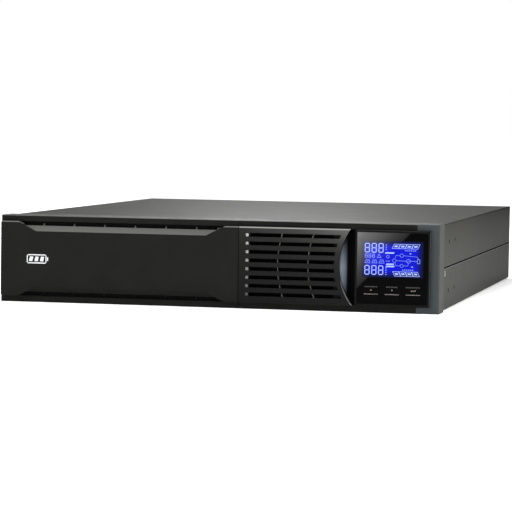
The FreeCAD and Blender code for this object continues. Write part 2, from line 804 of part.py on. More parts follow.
def lcd_panel():
    return node("lcd_panel", block(SCREEN_SPAN, (WINDOW_FACE, f"{WINDOW_FACE} + screen_depth"), SCREEN_RISE))


def keys():
    front = amount(FRONT)
    high = amount("key_bottom + key_height")
    for index, name in enumerate(KEY_NAMES):
        flange_front = f"({WINDOW_REAR} + moving_gap)"
        body = extrusion("XZ", flange_front, f"{KEY_FLOOR} - 1", rectangle(*key_spans(index, "key_flange")))
        pad(body, "XZ", FRONT, flange_front, rectangle(*key_spans(index, "0")))
        chamfer(body, "key_chamfer", lambda box: box.YMax < front + 0.01 and box.ZMin > high - 0.01)
        node(name, body)


def display_board():
    board = block((f"{DISPLAY_X} - 19", f"{DISPLAY_X} + 19"), (DISPLAY_REAR, f"{DISPLAY_REAR} + 1.6"),
                  (f"{MIDDLE} - 19", f"{MIDDLE} + 19"))
    plug = block((f"{DISPLAY_X} - 8", f"{DISPLAY_X} + 8"), (f"{DISPLAY_REAR} + 1.6", f"{DISPLAY_REAR} + 7"),
                 (f"{MIDDLE} - 4", f"{MIDDLE} + 4"))
    return node("display_board", fuse(board, plug))


def display_ring():
    """Ring on the end of the spigot, behind the collar, that keeps the display in its bore."""
    start = (DISPLAY_X, f"{RAIL_FACE} + spigot_length + moving_gap", MIDDLE)
    flange = ring("y", start, "spigot_radius + 2.4", "spigot_radius - spigot_wall - 2", "1.6")
    return node("display_ring", flange)


# Battery tray

TRAY_LEFT = f"(-{INNER_SIDE} + tray_gap)"
TRAY_RIGHT = f"({BAY_RIGHT} - tray_gap)"
TRAY_FRONT = f"({BEZEL_BACK} - moving_gap - sheet_gauge)"
TRAY_BACK = f"({TRAY_FRONT} + tray_length)"
TRAY_FLOOR = f"({FLOOR} + 0.4)"
BATTERY_FLOOR = f"({TRAY_FLOOR} + sheet_gauge)"


def battery_tray():
    high = f"({TRAY_FLOOR} + tray_wall_height)"
    floor = block((TRAY_LEFT, TRAY_RIGHT), (TRAY_FRONT, TRAY_BACK), (TRAY_FLOOR, BATTERY_FLOOR))
    left = block((TRAY_LEFT, f"{TRAY_LEFT} + sheet_gauge"), (TRAY_FRONT, TRAY_BACK), (TRAY_FLOOR, high))
    right = block((f"{TRAY_RIGHT} - sheet_gauge", TRAY_RIGHT), (TRAY_FRONT, TRAY_BACK), (TRAY_FLOOR, high))
    back = block((TRAY_LEFT, TRAY_RIGHT), (f"{TRAY_BACK} - sheet_gauge", TRAY_BACK), (TRAY_FLOOR, high))
    front = block((TRAY_LEFT, TRAY_RIGHT), (TRAY_FRONT, f"{TRAY_FRONT} + sheet_gauge"),
                  (TRAY_FLOOR, f"{TOP} - tray_front_drop"))
    start = f"{TRAY_FRONT} - 1"
    holes = [rod("y", (x, start, z), "door_pin_radius + 0.4", "4") for x, z in POST_PLACES]
    holes += [rod("y", (x, start, "tray_screw_level"), SCREW_HOLE, "4") for x in TRAY_SCREW_X]
    lead_way = block(("-122", "-82"), (f"{TRAY_BACK} - 3", f"{TRAY_BACK} + 1"), ("8", "30"))
    return node("battery_tray", cut(fuse(floor, left, right, back, front), *holes, lead_way))


def tray_handle():
    """A bail fixed to the tray's front plate, with room for fingers behind it."""
    centre = f"(({TRAY_LEFT} + {TRAY_RIGHT}) / 2)"
    rise = ("handle_level - handle_height / 2", "handle_level + handle_height / 2")
    legs = []
    for side in "-+":
        x = f"({centre} {side} handle_reach)"
        legs.append(block((f"{x} - 4", f"{x} + 4"), (f"{TRAY_FRONT} - 20", TRAY_FRONT), rise))
    grip = block((f"{centre} - handle_reach - 4", f"{centre} + handle_reach + 4"),
                 (f"{TRAY_FRONT} - 24", f"{TRAY_FRONT} - 16"), rise)
    return node("tray_handle", fuse(grip, *legs))


def tray_screws():
    head = rod("y", ("0", "-10", "0"), "5", "10")
    grooves = [block(("-0.5", "0.5"), ("-11", "-9"), ("-4", "4"))]
    shank = rod("y", ("0", "0", "0"), SCREW_SHANK, "3")
    master = fuse(cut(head, *grooves), shank)
    return node("tray_screws", copies(master, [(x, TRAY_FRONT, "tray_screw_level") for x in TRAY_SCREW_X]))


def battery_corner(column, row):
    if column == 0:
        x = f"({TRAY_LEFT} + sheet_gauge + 0.4)"
    else:
        x = f"({TRAY_RIGHT} - sheet_gauge - 0.4 - battery_width)"
    y = f"({TRAY_FRONT} + 6 + {row} * (battery_length + battery_gap))"
    return x, y


def inner_face(column):
    """The face that carries the tabs looks into the gap between the two columns."""
    x = battery_corner(column, 0)[0]
    return f"({x} + battery_width)" if column == 0 else x


def batteries():
    rise = (BATTERY_FLOOR, f"{BATTERY_FLOOR} + battery_height")
    for column in range(2):
        for row in range(3):
            x, y = battery_corner(column, row)
            body = extrusion("XZ", y, f"{y} + battery_length", rectangle((x, f"{x} + battery_width"), rise))
            fillet(body, "battery_corner_radius", lambda box: box.YLength > 100)
            lid = f"({x} + battery_width - battery_lid)" if column == 0 else f"({x} + battery_lid)"
            node(f"battery_{column * 3 + row + 1}", cut(body, lid_groove(lid, y)))


def lid_groove(lid, y):
    """The shallow line round a battery where its lid is welded on."""
    outside = block((f"{lid} - 0.4", f"{lid} + 0.4"), (f"{y} - 1", f"{y} + battery_length + 1"),
                    (f"{BATTERY_FLOOR} - 1", f"{BATTERY_FLOOR} + battery_height + 1"))
    inside = block((f"{lid} - 1", f"{lid} + 1"), (f"{y} + 0.5", f"{y} + battery_length - 0.5"),
                   (f"{BATTERY_FLOOR} + 0.5", f"{BATTERY_FLOOR} + battery_height - 0.5"))
    return cut(outside, inside)


TAB_LEVEL = f"({BATTERY_FLOOR} + 14)"


def tab_start(column, length):
    face = inner_face(column)
    return (face, f"{face} + {length}") if column == 0 else (f"{face} - {length}", face)


def tab_centres(column, row):
    y = battery_corner(column, row)[1]
    return f"({y} + 12)", f"({y} + battery_length - 12)"


def battery_tabs():
    rise = (TAB_LEVEL, f"{TAB_LEVEL} + tab_thickness")
    tabs = []
    for column in range(2):
        for row in range(3):
            for centre in tab_centres(column, row):
                width = (f"{centre} - tab_width / 2", f"{centre} + tab_width / 2")
                tabs.append(block(tab_start(column, "tab_length"), width, rise))
    return node("battery_tabs", group(*tabs))


def battery_links():
    """Insulated bars that join the six blocks in series; each lies on top of the tabs it joins."""
    low = f"({TAB_LEVEL} + tab_thickness)"
    high = f"({low} + 3)"
    links = []
    for column in range(2):
        for row in range(2):
            start = tab_centres(column, row)[1]
            end = tab_centres(column, row + 1)[0]
            links.append(block(tab_start(column, "tab_length"), (f"{start} - 4", f"{end} + 4"), (low, high)))
    front = tab_centres(0, 0)[0]
    links.append(block((inner_face(0), inner_face(1)), (f"{front} - 4", f"{front} + 4"), (low, high)))
    for column in range(2):
        rear = tab_centres(column, 2)[1]
        links.append(block(tab_start(column, "tab_length"), (f"{rear} - 4", f"{TRAY_BACK} + 2"), (low, high)))
    return node("battery_links", group(*links))


CONNECTOR_SPAN = ("-117", "-87")
CONNECTOR_PINS = ("-109", "-95")


def tray_connector():
    body = block(CONNECTOR_SPAN, (f"{TRAY_BACK} + 2", f"{TRAY_BACK} + 16"), ("9", "29"))
    holes = [rod("y", (x, f"{TRAY_BACK} + 5", "15"), "3.5", "20") for x in CONNECTOR_PINS]
    return node("tray_connector", cut(body, *holes))


def bay_connector():
    body = block(CONNECTOR_SPAN, (f"{TRAY_BACK} + 17", f"{TRAY_BACK} + 32"), (FLOOR, "29"))
    pins = [rod("y", (x, f"{TRAY_BACK} + 7", "15"), "3", "12") for x in CONNECTOR_PINS]
    return node("bay_connector", fuse(body, *pins))


# Electronics bay

BOARD_LEFT = f"({BAY_RIGHT} + board_margin)"
BOARD_RIGHT = f"({INNER_SIDE} - board_clearance)"
BOARD_TOP = "(board_level + board_thickness)"
SINK_LEFTS = [f"({BOARD_LEFT} + sink_inset + {index} * sink_pitch)" for index in range(2)]
SINK_RUN = ("sink_start", "sink_end")
FILTER_RUN = (f"{TRAY_BACK} + 36", f"{TRAY_BACK} + 68")


def main_board():
    places = []
    for column in range(3):
        for row in range(4):
            places.append((f"{BOARD_LEFT} + 6 + {column} * 84", f"-180 + {row} * 120"))
    board = extrusion("XY", "board_level", BOARD_TOP,
                      rectangle((BOARD_LEFT, BOARD_RIGHT), ("-board_reach", "board_reach")),
                      *[(x, y, SCREW_HOLE) for x, y in places])
    node("main_board", board)
    post = ring("z", ("0", "0", FLOOR), "post_radius", SCREW_HOLE, f"board_level - {FLOOR}")
    filter_places = [(x, f"{TRAY_BACK} + 52") for x in ("-201", "2")]
    node("board_standoffs", copies(post, [(x, y, "0") for x, y in places + filter_places]))


def heatsinks():
    sinks = []
    for left in SINK_LEFTS:
        plate_edge = f"({left} + sink_plate)"
        base = block((left, plate_edge), SINK_RUN, (BOARD_TOP, "sink_top"))
        fins = []
        for index in range(DIMENSIONS["fin_count"]):
            low = f"({BOARD_TOP} + {index} * fin_pitch + fin_thickness)"
            across = (plate_edge, f"{left} + sink_reach")
            fins.append(block(across, SINK_RUN, (low, f"{low} + fin_thickness")))
        sinks.append(fuse(base, *fins))
    return node("heatsinks", group(*sinks))


def power_transistors():
    pieces = []
    for left in SINK_LEFTS:
        for index in range(DIMENSIONS["transistor_count"]):
            y = f"(-110 + {index} * transistor_pitch)"
            low = f"({BOARD_TOP} + lead_height)"
            pieces.append(block((f"{left} - transistor_depth", left), (y, f"{y} + transistor_width"),
                                (low, f"{low} + transistor_height")))
            for lead in range(3):
                near = f"({y} + 2 + {lead} * lead_pitch)"
                pieces.append(block((f"{left} - 3", f"{left} - 2"), (near, f"{near} + lead_width"),
                                    (BOARD_TOP, low)))
    return node("power_transistors", group(*pieces))


def bus_capacitors():
    master = rod("z", ("0", "0", BOARD_TOP), "capacitor_radius", "capacitor_height")
    x = f"{BOARD_LEFT} + 75"
    places = [(x, f"-114 + {index} * capacitor_pitch", "0") for index in range(DIMENSIONS["capacitor_count"])]
    return node("bus_capacitors", copies(master, places))


def chokes():
    level = f"{BOARD_TOP} + choke_radius + choke_thickness + 1"
    rings = []
    for index in range(3):
        place = (f"{BOARD_LEFT} + 28 + {index} * choke_pitch", "140", level)
        rings.append(torus(place, "choke_radius", "choke_thickness"))
    return node("chokes", group(*rings))


def transformer():
    """Laminated core with two windows, and the winding on its middle leg."""
    x = f"({BOARD_LEFT} + 170)"
    run = ("-190", "-150")
    core = block((f"{x} - 22", f"{x} + 20"), run, (BOARD_TOP, f"{BOARD_TOP} + 40"))
    window_rise = (f"{BOARD_TOP} + 7", f"{BOARD_TOP} + 33")
    windows = []
    for side in range(2):
        left = f"({x} - 15 + {side} * 18)"
        windows.append(block((left, f"{left} + 10"), ("-191", "-149"), window_rise))
    winding = block((f"{x} - 14", f"{x} + 12"), ("-196", "-144"), (f"{BOARD_TOP} + 9", f"{BOARD_TOP} + 31"))
    return node("transformer", fuse(cut(core, *windows), winding))


def control_board():
    x = f"({BOARD_RIGHT} - 12)"
    board = block((x, f"{x} + board_thickness"), ("-110", "90"), (BOARD_TOP, "control_board_top"))
    chips = []
    for index in range(3):
        start = f"(-90 + {index} * 55)"
        chips.append(block((f"{x} - 2", x), (start, f"{start} + 20"), ("40", "60")))
    return node("control_board", fuse(board, *chips))


def filter_board():
    board = block(("-205", "6"), FILTER_RUN, ("board_level", BOARD_TOP))
    parts = []
    for index in range(7):
        left = f"(-195 + {index} * filter_pitch)"
        parts.append(block((left, f"{left} + 18"), (f"{TRAY_BACK} + 40", f"{TRAY_BACK} + 60"),
                           (BOARD_TOP, f"{BOARD_TOP} + 18")))
    return node("filter_board", fuse(board, *parts))


# Rear panel and what it carries

PANEL_INSIDE = f"({CASE_BACK} - sheet_gauge)"
FAN_X = [f"({RIGHT} - fan_inset - {index} * fan_pitch)" for index in range(2)]
INLET_X = f"({LEFT} + inlet_inset)"
INLET_Z = "inlet_level"
BREAKER_Z = "breaker_level"
SOCKET_Z = "socket_level"
OUTLET_X = f"({LEFT} + outlet_left)"
OUTLET_RIGHT = f"({OUTLET_X} + 3 * outlet_pitch_across)"
OUTLET_Z = ("outlet_level", "(outlet_level + outlet_pitch_up)")
PORT_X = f"({LEFT} + port_inset)"


def around(centre, half):
    return f"{centre} - {half}", f"{centre} + {half}"


def outlet_centres():
    places = []
    for column in range(4):
        for z in OUTLET_Z:
            places.append((f"({OUTLET_X} + {column} * outlet_pitch_across)", z))
    return places


def fan_corners(x):
    """The four screw places of a fan."""
    signs = [(across, up) for across in "-+" for up in "-+"]
    return [(f"{x} {across} fan_hole_offset", f"{MIDDLE} {up} fan_hole_offset") for across, up in signs]


def rear_panel():
    outlines = [
        rectangle((f"-{INNER_SIDE} + 0.2", f"{INNER_SIDE} - 0.2"), (FLOOR, CEILING)),
        rectangle(around(INLET_X, "18"), around(INLET_Z, "14")),
        rectangle((f"{OUTLET_X} - 16", f"{OUTLET_RIGHT} + 16"),
                  (f"{OUTLET_Z[0]} - 13.5", f"{OUTLET_Z[1]} + 13.5")),
        rectangle(around(INLET_X, "20"), around(SOCKET_Z, "8")),
        (INLET_X, BREAKER_Z, "5.2"),
        rectangle(around(PORT_X, "16"), ("8", "22")),
        rectangle((f"{PORT_X} - 15", f"{PORT_X} - 2"), ("28", "40")),
        rectangle(around(PORT_X, "10"), ("46", "56")),
        rectangle(around(PORT_X, "20"), ("63", "79")),
    ]
    outlines += [(x, MIDDLE, "fan_opening") for x in FAN_X]
    body = extrusion("XZ", PANEL_INSIDE, CASE_BACK, *outlines)
    start = f"{PANEL_INSIDE} - 1"
    holes = [rod("y", (x, start, z), SCREW_HOLE, "4") for x, z in REAR_SCREWS]
    for centre in FAN_X:
        holes += [rod("y", (x, start, z), "fan_hole_radius", "4") for x, z in fan_corners(centre)]
    lip = (f"{SEAM_LOW} - sheet_gauge - 0.2", f"{SEAM_LOW} + lip_height + 0.2")
    notches = []
    for span in ((f"-{INNER_SIDE} - 1", f"-{JOGGLE}"), (JOGGLE, f"{INNER_SIDE} + 1")):
        notches.append(block(span, (start, f"{CASE_BACK} + 1"), lip))
    return node("rear_panel", cut(body, *holes, *notches))


FAN_FRONT = f"({PANEL_INSIDE} - fan_depth)"


def fan_frame(x):
    """A square frame, and the motor plate that four spokes hold in its middle."""
    half = "(fan_size / 2)"
    frame = extrusion("XZ", FAN_FRONT, PANEL_INSIDE, rectangle(around(x, half), around(MIDDLE, half)),
                      (x, MIDDLE, "fan_opening"),
                      *[(corner_x, corner_z, "fan_hole_radius") for corner_x, corner_z in fan_corners(x)])
    motor = rod("y", (x, FAN_FRONT, MIDDLE), "hub_radius", "4")
    reach = "(fan_opening + 0.5)"
    thickness = (FAN_FRONT, f"{FAN_FRONT} + spoke_width")
    bars = [block(around(x, reach), thickness, around(MIDDLE, "spoke_width / 2")),
            block(around(x, "spoke_width / 2"), thickness, around(MIDDLE, reach))]
    bearing = rod("y", (x, f"{FAN_FRONT} - 1", MIDDLE), "shaft_radius + shaft_clearance", "6")
    return cut(fuse(frame, motor, *bars), bearing)


def fan_blade(index):
    """One pitched blade, turned to its place about the y axis."""
    blade = doc.addObject("Part::Box", "blade")
    bind(blade, "Length", "fan_opening - hub_radius + 3")
    bind(blade, "Width", "blade_chord")
    bind(blade, "Height", "blade_thickness")
    root = Placement(Vector(amount("hub_radius - 3"), 0, 0), Rotation(Vector(1, 0, 0), BLADE_PITCH))
    centred = Placement(Vector(0, -amount("blade_chord") / 2, -amount("blade_thickness") / 2), Rotation())
    around_hub = Rotation(Vector(0, 1, 0), 360 / DIMENSIONS["blade_count"] * index)
    blade.Placement = Placement(Vector(), around_hub) * root * centred
    return blade


BLADE_PITCH = 38


def fans():
    for number, x in enumerate(FAN_X, 1):
        hub = rod("y", (x, f"{FAN_FRONT} + 5", MIDDLE), "hub_radius", "18")
        shaft = rod("y", (x, f"{FAN_FRONT} + 0.5", MIDDLE), "shaft_radius", "6")
        blades = fuse(*[fan_blade(index) for index in range(DIMENSIONS["blade_count"])])
        swept = common(blades, rod("y", ("0", "-8.5", "0"), "fan_opening - 1.2", "17"))
        node(f"fan_rotor_{number}", fuse(hub, shaft, copies(swept, [(x, f"{FAN_FRONT} + 14", MIDDLE)])))
    node("fan_frames", group(*[fan_frame(x) for x in FAN_X]))


GUARD_RINGS = 4
GUARD_SIGNS = [(across, up) for across in (-1, 1) for up in (-1, 1)]


def fan_guard(x):
    """Wire rings round a middle plate, on four slanting spokes that end in screw eyes."""
    level = f"({CASE_BACK} + 2.6)"
    plate = rod("y", (x, f"{level} - wire_radius", MIDDLE), "guard_plate_radius", "2 * wire_radius")
    wires = [plate]
    for index in range(1, GUARD_RINGS + 1):
        wires.append(torus((x, level, MIDDLE), f"guard_plate_radius + {index} * guard_pitch", "wire_radius"))
    for across, up in GUARD_SIGNS:
        spoke = doc.addObject("Part::Cylinder", "spoke")
        bind(spoke, "Radius", "spoke_wire_radius")
        bind(spoke, "Height", "guard_spoke_length")
        spoke.Placement = Placement(Vector(), Rotation(Vector(0, 0, 1), Vector(across, 0, up)))
        reach = amount("guard_plate_radius - 2") / math.sqrt(2)
        wires.append(move(spoke, f"{x} + {across * reach}", f"{CASE_BACK} + 1.4", f"{MIDDLE} + {up * reach}"))
    screw_ways = []
    for eye_x, eye_z in fan_corners(x):
        eye = (eye_x, CASE_BACK, eye_z)
        wires.append(ring("y", eye, "4", "fan_hole_radius", "2 * spoke_wire_radius"))
        screw_ways.append(rod("y", eye, "fan_hole_radius", "4"))
    return cut(fuse(*wires), *screw_ways)


def fan_guards():
    return node("fan_guards", group(*[fan_guard(x) for x in FAN_X]))


def fan_screws():
    master = pan_screw("3.6", "2", "2.0", "16")
    places = []
    for centre in FAN_X:
        places += [(x, f"{CASE_BACK} + 2.2", z) for x, z in fan_corners(centre)]
    return node("fan_screws", copies(master, places, Rotation(Vector(1, 0, 0), -90)))


def inlet():
    outside = block(around(INLET_X, "17.8"), (f"{CASE_BACK} - 24", f"{CASE_BACK} + 2"),
                    around(INLET_Z, "13.8"))
    flange = block(around(INLET_X, "24"), (CASE_BACK, f"{CASE_BACK} + 2"), around(INLET_Z, "15.5"))
    recess = block(around(INLET_X, "15"), (f"{CASE_BACK} - 17", f"{CASE_BACK} + 3"), around(INLET_Z, "10.5"))
    node("inlet_socket", cut(fuse(outside, flange), recess))
    pins = []
    for across, up in (("- 6.5", "- 3"), ("+ 6.5", "- 3"), ("+ 0", "+ 4")):
        pins.append(block(around(f"{INLET_X} {across}", "4"), (f"{CASE_BACK} - 17", f"{CASE_BACK} - 1"),
                          around(f"{INLET_Z} {up}", "1")))
    node("inlet_pins", group(*pins))


def outlet_outline(x, z, width, height, bevel):
    """A rectangle with its two lower corners cut off."""
    left = f"{x} - {width} / 2"
    right = f"{x} + {width} / 2"
    low = f"{z} - {height} / 2"
    high = f"{z} + {height} / 2"
    return [(f"{left} + {bevel}", low), (f"{right} - {bevel}", low), (right, f"{low} + {bevel}"),
            (right, high), (left, high), (left, f"{low} + {bevel}")]


def outlets():
    across = (f"{OUTLET_X} - 15.8", f"{OUTLET_RIGHT} + 15.8")
    rise = (f"{OUTLET_Z[0]} - 13.3", f"{OUTLET_Z[1]} + 13.3")
    floor = f"({CASE_BACK} - outlet_depth)"
    ways = [outlet_outline(x, z, "outlet_width", "outlet_height", "5") for x, z in outlet_centres()]
    shell = extrusion("XZ", floor, f"{CASE_BACK} + 1.5", rectangle(across, rise), *ways)
    back = block(across, (f"{floor} - 2", floor), rise)
    node("outlet_bank", fuse(shell, back))
    core_width = "(outlet_width - 2 * outlet_groove)"
    core_height = "(outlet_height - 2 * outlet_groove)"
    cores = []
    for x, z in outlet_centres():
        slots = []
        for across, up in (("- 7", "- 1"), ("+ 7", "- 1"), ("+ 0", "+ 3")):
            slots.append(rectangle(around(f"{x} {across}", "1.2"), around(f"{z} {up}", "2.6")))
        outline = outlet_outline(x, z, core_width, core_height, "3.6")
        cores.append(extrusion("XZ", floor, f"{CASE_BACK} + 1", outline, *slots))
    node("outlet_cores", group(*cores))


def breaker():
    body = block(around(INLET_X, "8"), (f"{CASE_BACK} - 34", PANEL_INSIDE),
                 (f"{BREAKER_Z} - 6.2", f"{BREAKER_Z} + 7"))
    neck = ring("y", (INLET_X, PANEL_INSIDE, BREAKER_Z), "5", "breaker_well_radius", "sheet_gauge + 2.4")
    well = rod("y", (INLET_X, f"{CASE_BACK} - 12", BREAKER_Z), "breaker_well_radius", "20")
    node("breaker_body", fuse(cut(body, well), neck))
    button = rod("y", (INLET_X, f"{CASE_BACK} - 10", BREAKER_Z), "breaker_well_radius - 0.4", "14.5")
    node("breaker_button", button)


def external_battery_socket():
    outside = block(around(INLET_X, "19.8"), (f"{CASE_BACK} - 26", REAR), around(SOCKET_Z, "7.8"))
    ways = []
    for across in ("- 9", "+ 9"):
        ways.append(block(around(f"{INLET_X} {across}", "6"), (f"{CASE_BACK} - 16", f"{REAR} + 1"),
                          around(SOCKET_Z, "5")))
    return node("external_battery_socket", cut(outside, *ways))


def network_jacks():
    outside = block(around(PORT_X, "15.8"), (f"{CASE_BACK} - 18", f"{CASE_BACK} + 1"), ("8.2", "21.8"))
    ways = []
    for across in ("- 7.8", "+ 7.8"):
        ways.append(block(around(f"{PORT_X} {across}", "5.9"), (f"{CASE_BACK} - 13", f"{CASE_BACK} + 2"),
                          ("10.5", "18.7")))
    return node("network_jacks", cut(outside, *ways))


def usb_port():
    centre = f"({PORT_X} - 8.5)"
    outside = block(around(centre, "6"), (f"{CASE_BACK} - 16", f"{CASE_BACK} + 1"), ("28.5", "39.5"))
    inside = block(around(centre, "4.3"), (f"{CASE_BACK} - 9", f"{CASE_BACK} + 2"), ("30.1", "37.9"))
    tongue = block(around(centre, "2.8"), (f"{CASE_BACK} - 9", f"{CASE_BACK} + 0.4"), ("32.4", "35.6"))
    return node("usb_port", fuse(cut(outside, inside), tongue))


def serial_port():
    flange = block(around(PORT_X, "15.4"), (CASE_BACK, f"{CASE_BACK} + 0.8"), ("44.8", "57.2"))
    body = block(around(PORT_X, "9.5"), (f"{CASE_BACK} - 11", CASE_BACK), ("46.5", "55.5"))
    narrow = around(PORT_X, "7.2")
    wide = around(PORT_X, "8.4")
    nose = extrusion("XZ", CASE_BACK, f"{CASE_BACK} + 5",
                     [(narrow[0], "47.2"), (narrow[1], "47.2"), (wide[1], "54.8"), (wide[0], "54.8")])
    contacts = []
    for count, level in ((5, "52.5"), (4, "49.6")):
        for index in range(count):
            x = f"{PORT_X} + ({index} - {(count - 1) / 2}) * contact_pitch"
            contacts.append(rod("y", (x, f"{CASE_BACK} - 2", level), "contact_radius", "10"))
    return node("serial_port", cut(fuse(flange, body, nose), *contacts))


def slot_cover():
    plate = block(around(PORT_X, "26"), (CASE_BACK, f"{CASE_BACK} + sheet_gauge"), ("60.5", "81.5"))
    grip = block(around(PORT_X, "15"), (CASE_BACK, f"{CASE_BACK} + 2.2"), ("70", "72"))
    return node("slot_cover", fuse(plate, grip))


SUB_PARTS = (
    chassis, top_cover, case_screws, base_pads, front_plate, bay_divider,
    battery_door, badge_plate, front_bezel, end_cap, vent_grille, vent_studs, finger_scoop,
    display_frame, display_window, lcd_panel, keys, display_board, display_ring,
    battery_tray, tray_handle, tray_screws, batteries, battery_tabs, battery_links,
    tray_connector, bay_connector,
    main_board, heatsinks, power_transistors, bus_capacitors, chokes, transformer,
    control_board, filter_board,
    rear_panel, fans, fan_guards, fan_screws, inlet, outlets, breaker, external_battery_socket,
    network_jacks, usb_port, serial_port, slot_cover,
)


def check():
    """Stop before anything is written if an object failed or a sub-part is empty or broken."""
    for thing in doc.Objects:
        if "Invalid" in thing.State or "Error" in thing.State:
            raise RuntimeError(f"{thing.Label} failed: {thing.State}")
    labels = [thing.Label for thing in NODES]
    if len(set(labels)) != len(labels):
        raise RuntimeError("two sub-parts share a label")
    for thing in NODES:
        shape = thing.Shape
        if shape.isNull() or not shape.isValid() or not shape.Solids:
            raise RuntimeError(f"{thing.Label} has no sound solid")


def export():
    os.makedirs("parts", exist_ok=True)
    for thing in NODES:
        thing.Shape.exportStep(os.path.join("parts", f"{thing.Label}.step"))


for make in SUB_PARTS:
    make()
doc.recompute()
check()
export()
print(len(NODES), "sub-parts written")
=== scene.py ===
import json
import math

import bmesh
import bpy
from mathutils import Matrix, Vector


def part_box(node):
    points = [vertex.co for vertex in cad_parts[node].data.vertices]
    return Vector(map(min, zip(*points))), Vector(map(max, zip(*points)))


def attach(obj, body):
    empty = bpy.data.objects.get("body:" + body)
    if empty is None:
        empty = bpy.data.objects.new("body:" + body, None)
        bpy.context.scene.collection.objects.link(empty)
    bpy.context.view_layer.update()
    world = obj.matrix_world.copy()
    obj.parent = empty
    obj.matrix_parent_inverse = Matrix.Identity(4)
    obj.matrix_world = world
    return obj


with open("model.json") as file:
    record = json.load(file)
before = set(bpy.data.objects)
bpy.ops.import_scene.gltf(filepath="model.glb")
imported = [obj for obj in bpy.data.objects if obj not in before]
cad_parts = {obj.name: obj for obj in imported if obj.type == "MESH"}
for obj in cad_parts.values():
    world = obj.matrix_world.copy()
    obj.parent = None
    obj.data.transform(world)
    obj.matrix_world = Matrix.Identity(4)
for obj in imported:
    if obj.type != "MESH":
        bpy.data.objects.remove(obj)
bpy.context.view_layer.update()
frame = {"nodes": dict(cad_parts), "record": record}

# Metres throughout.  +X is to the right seen from the front, +Y from the front to the back, +Z up.
MM = 0.001

# Sizes of the solid model that no node's box gives.  The scoop's arc has its centre at this (x, z); each
# curved rib has its own radius, and reaches this far to the left of the arc's centre.
ARC_CENTRE = (185.8 * MM, 44.6 * MM)
ARC_RADIUS = 64 * MM
INNER_RIB = {"reach": 94.4 * MM, "radius": 84 * MM}
OUTER_RIB = {"reach": 124.3 * MM, "radius": 102.6 * MM}
SLOT_HALF_HEIGHT = 1.85 * MM
STUD_HEIGHT = 3.3 * MM
STUD_COUNT = 8
SEAM_GAP = 1.3 * MM
KEY_BEVEL = 0.7 * MM
KEY_FLANGE = 0.7 * MM

SIDES = ((1, "right"), (-1, "left"))

# Thin marks stand PROUD of the surface that carries them, or a HAIR off it on the outermost faces
PROUD = 0.02 * MM
HAIR = 0.003 * MM
MARK_THICKNESS = 0.04 * MM

# Most of a noise texture's values lie between these
NOISE_LOW, NOISE_HIGH = 0.3, 0.7
BLACK, WHITE = (0, 0, 0), (1, 1, 1)


# Node materials

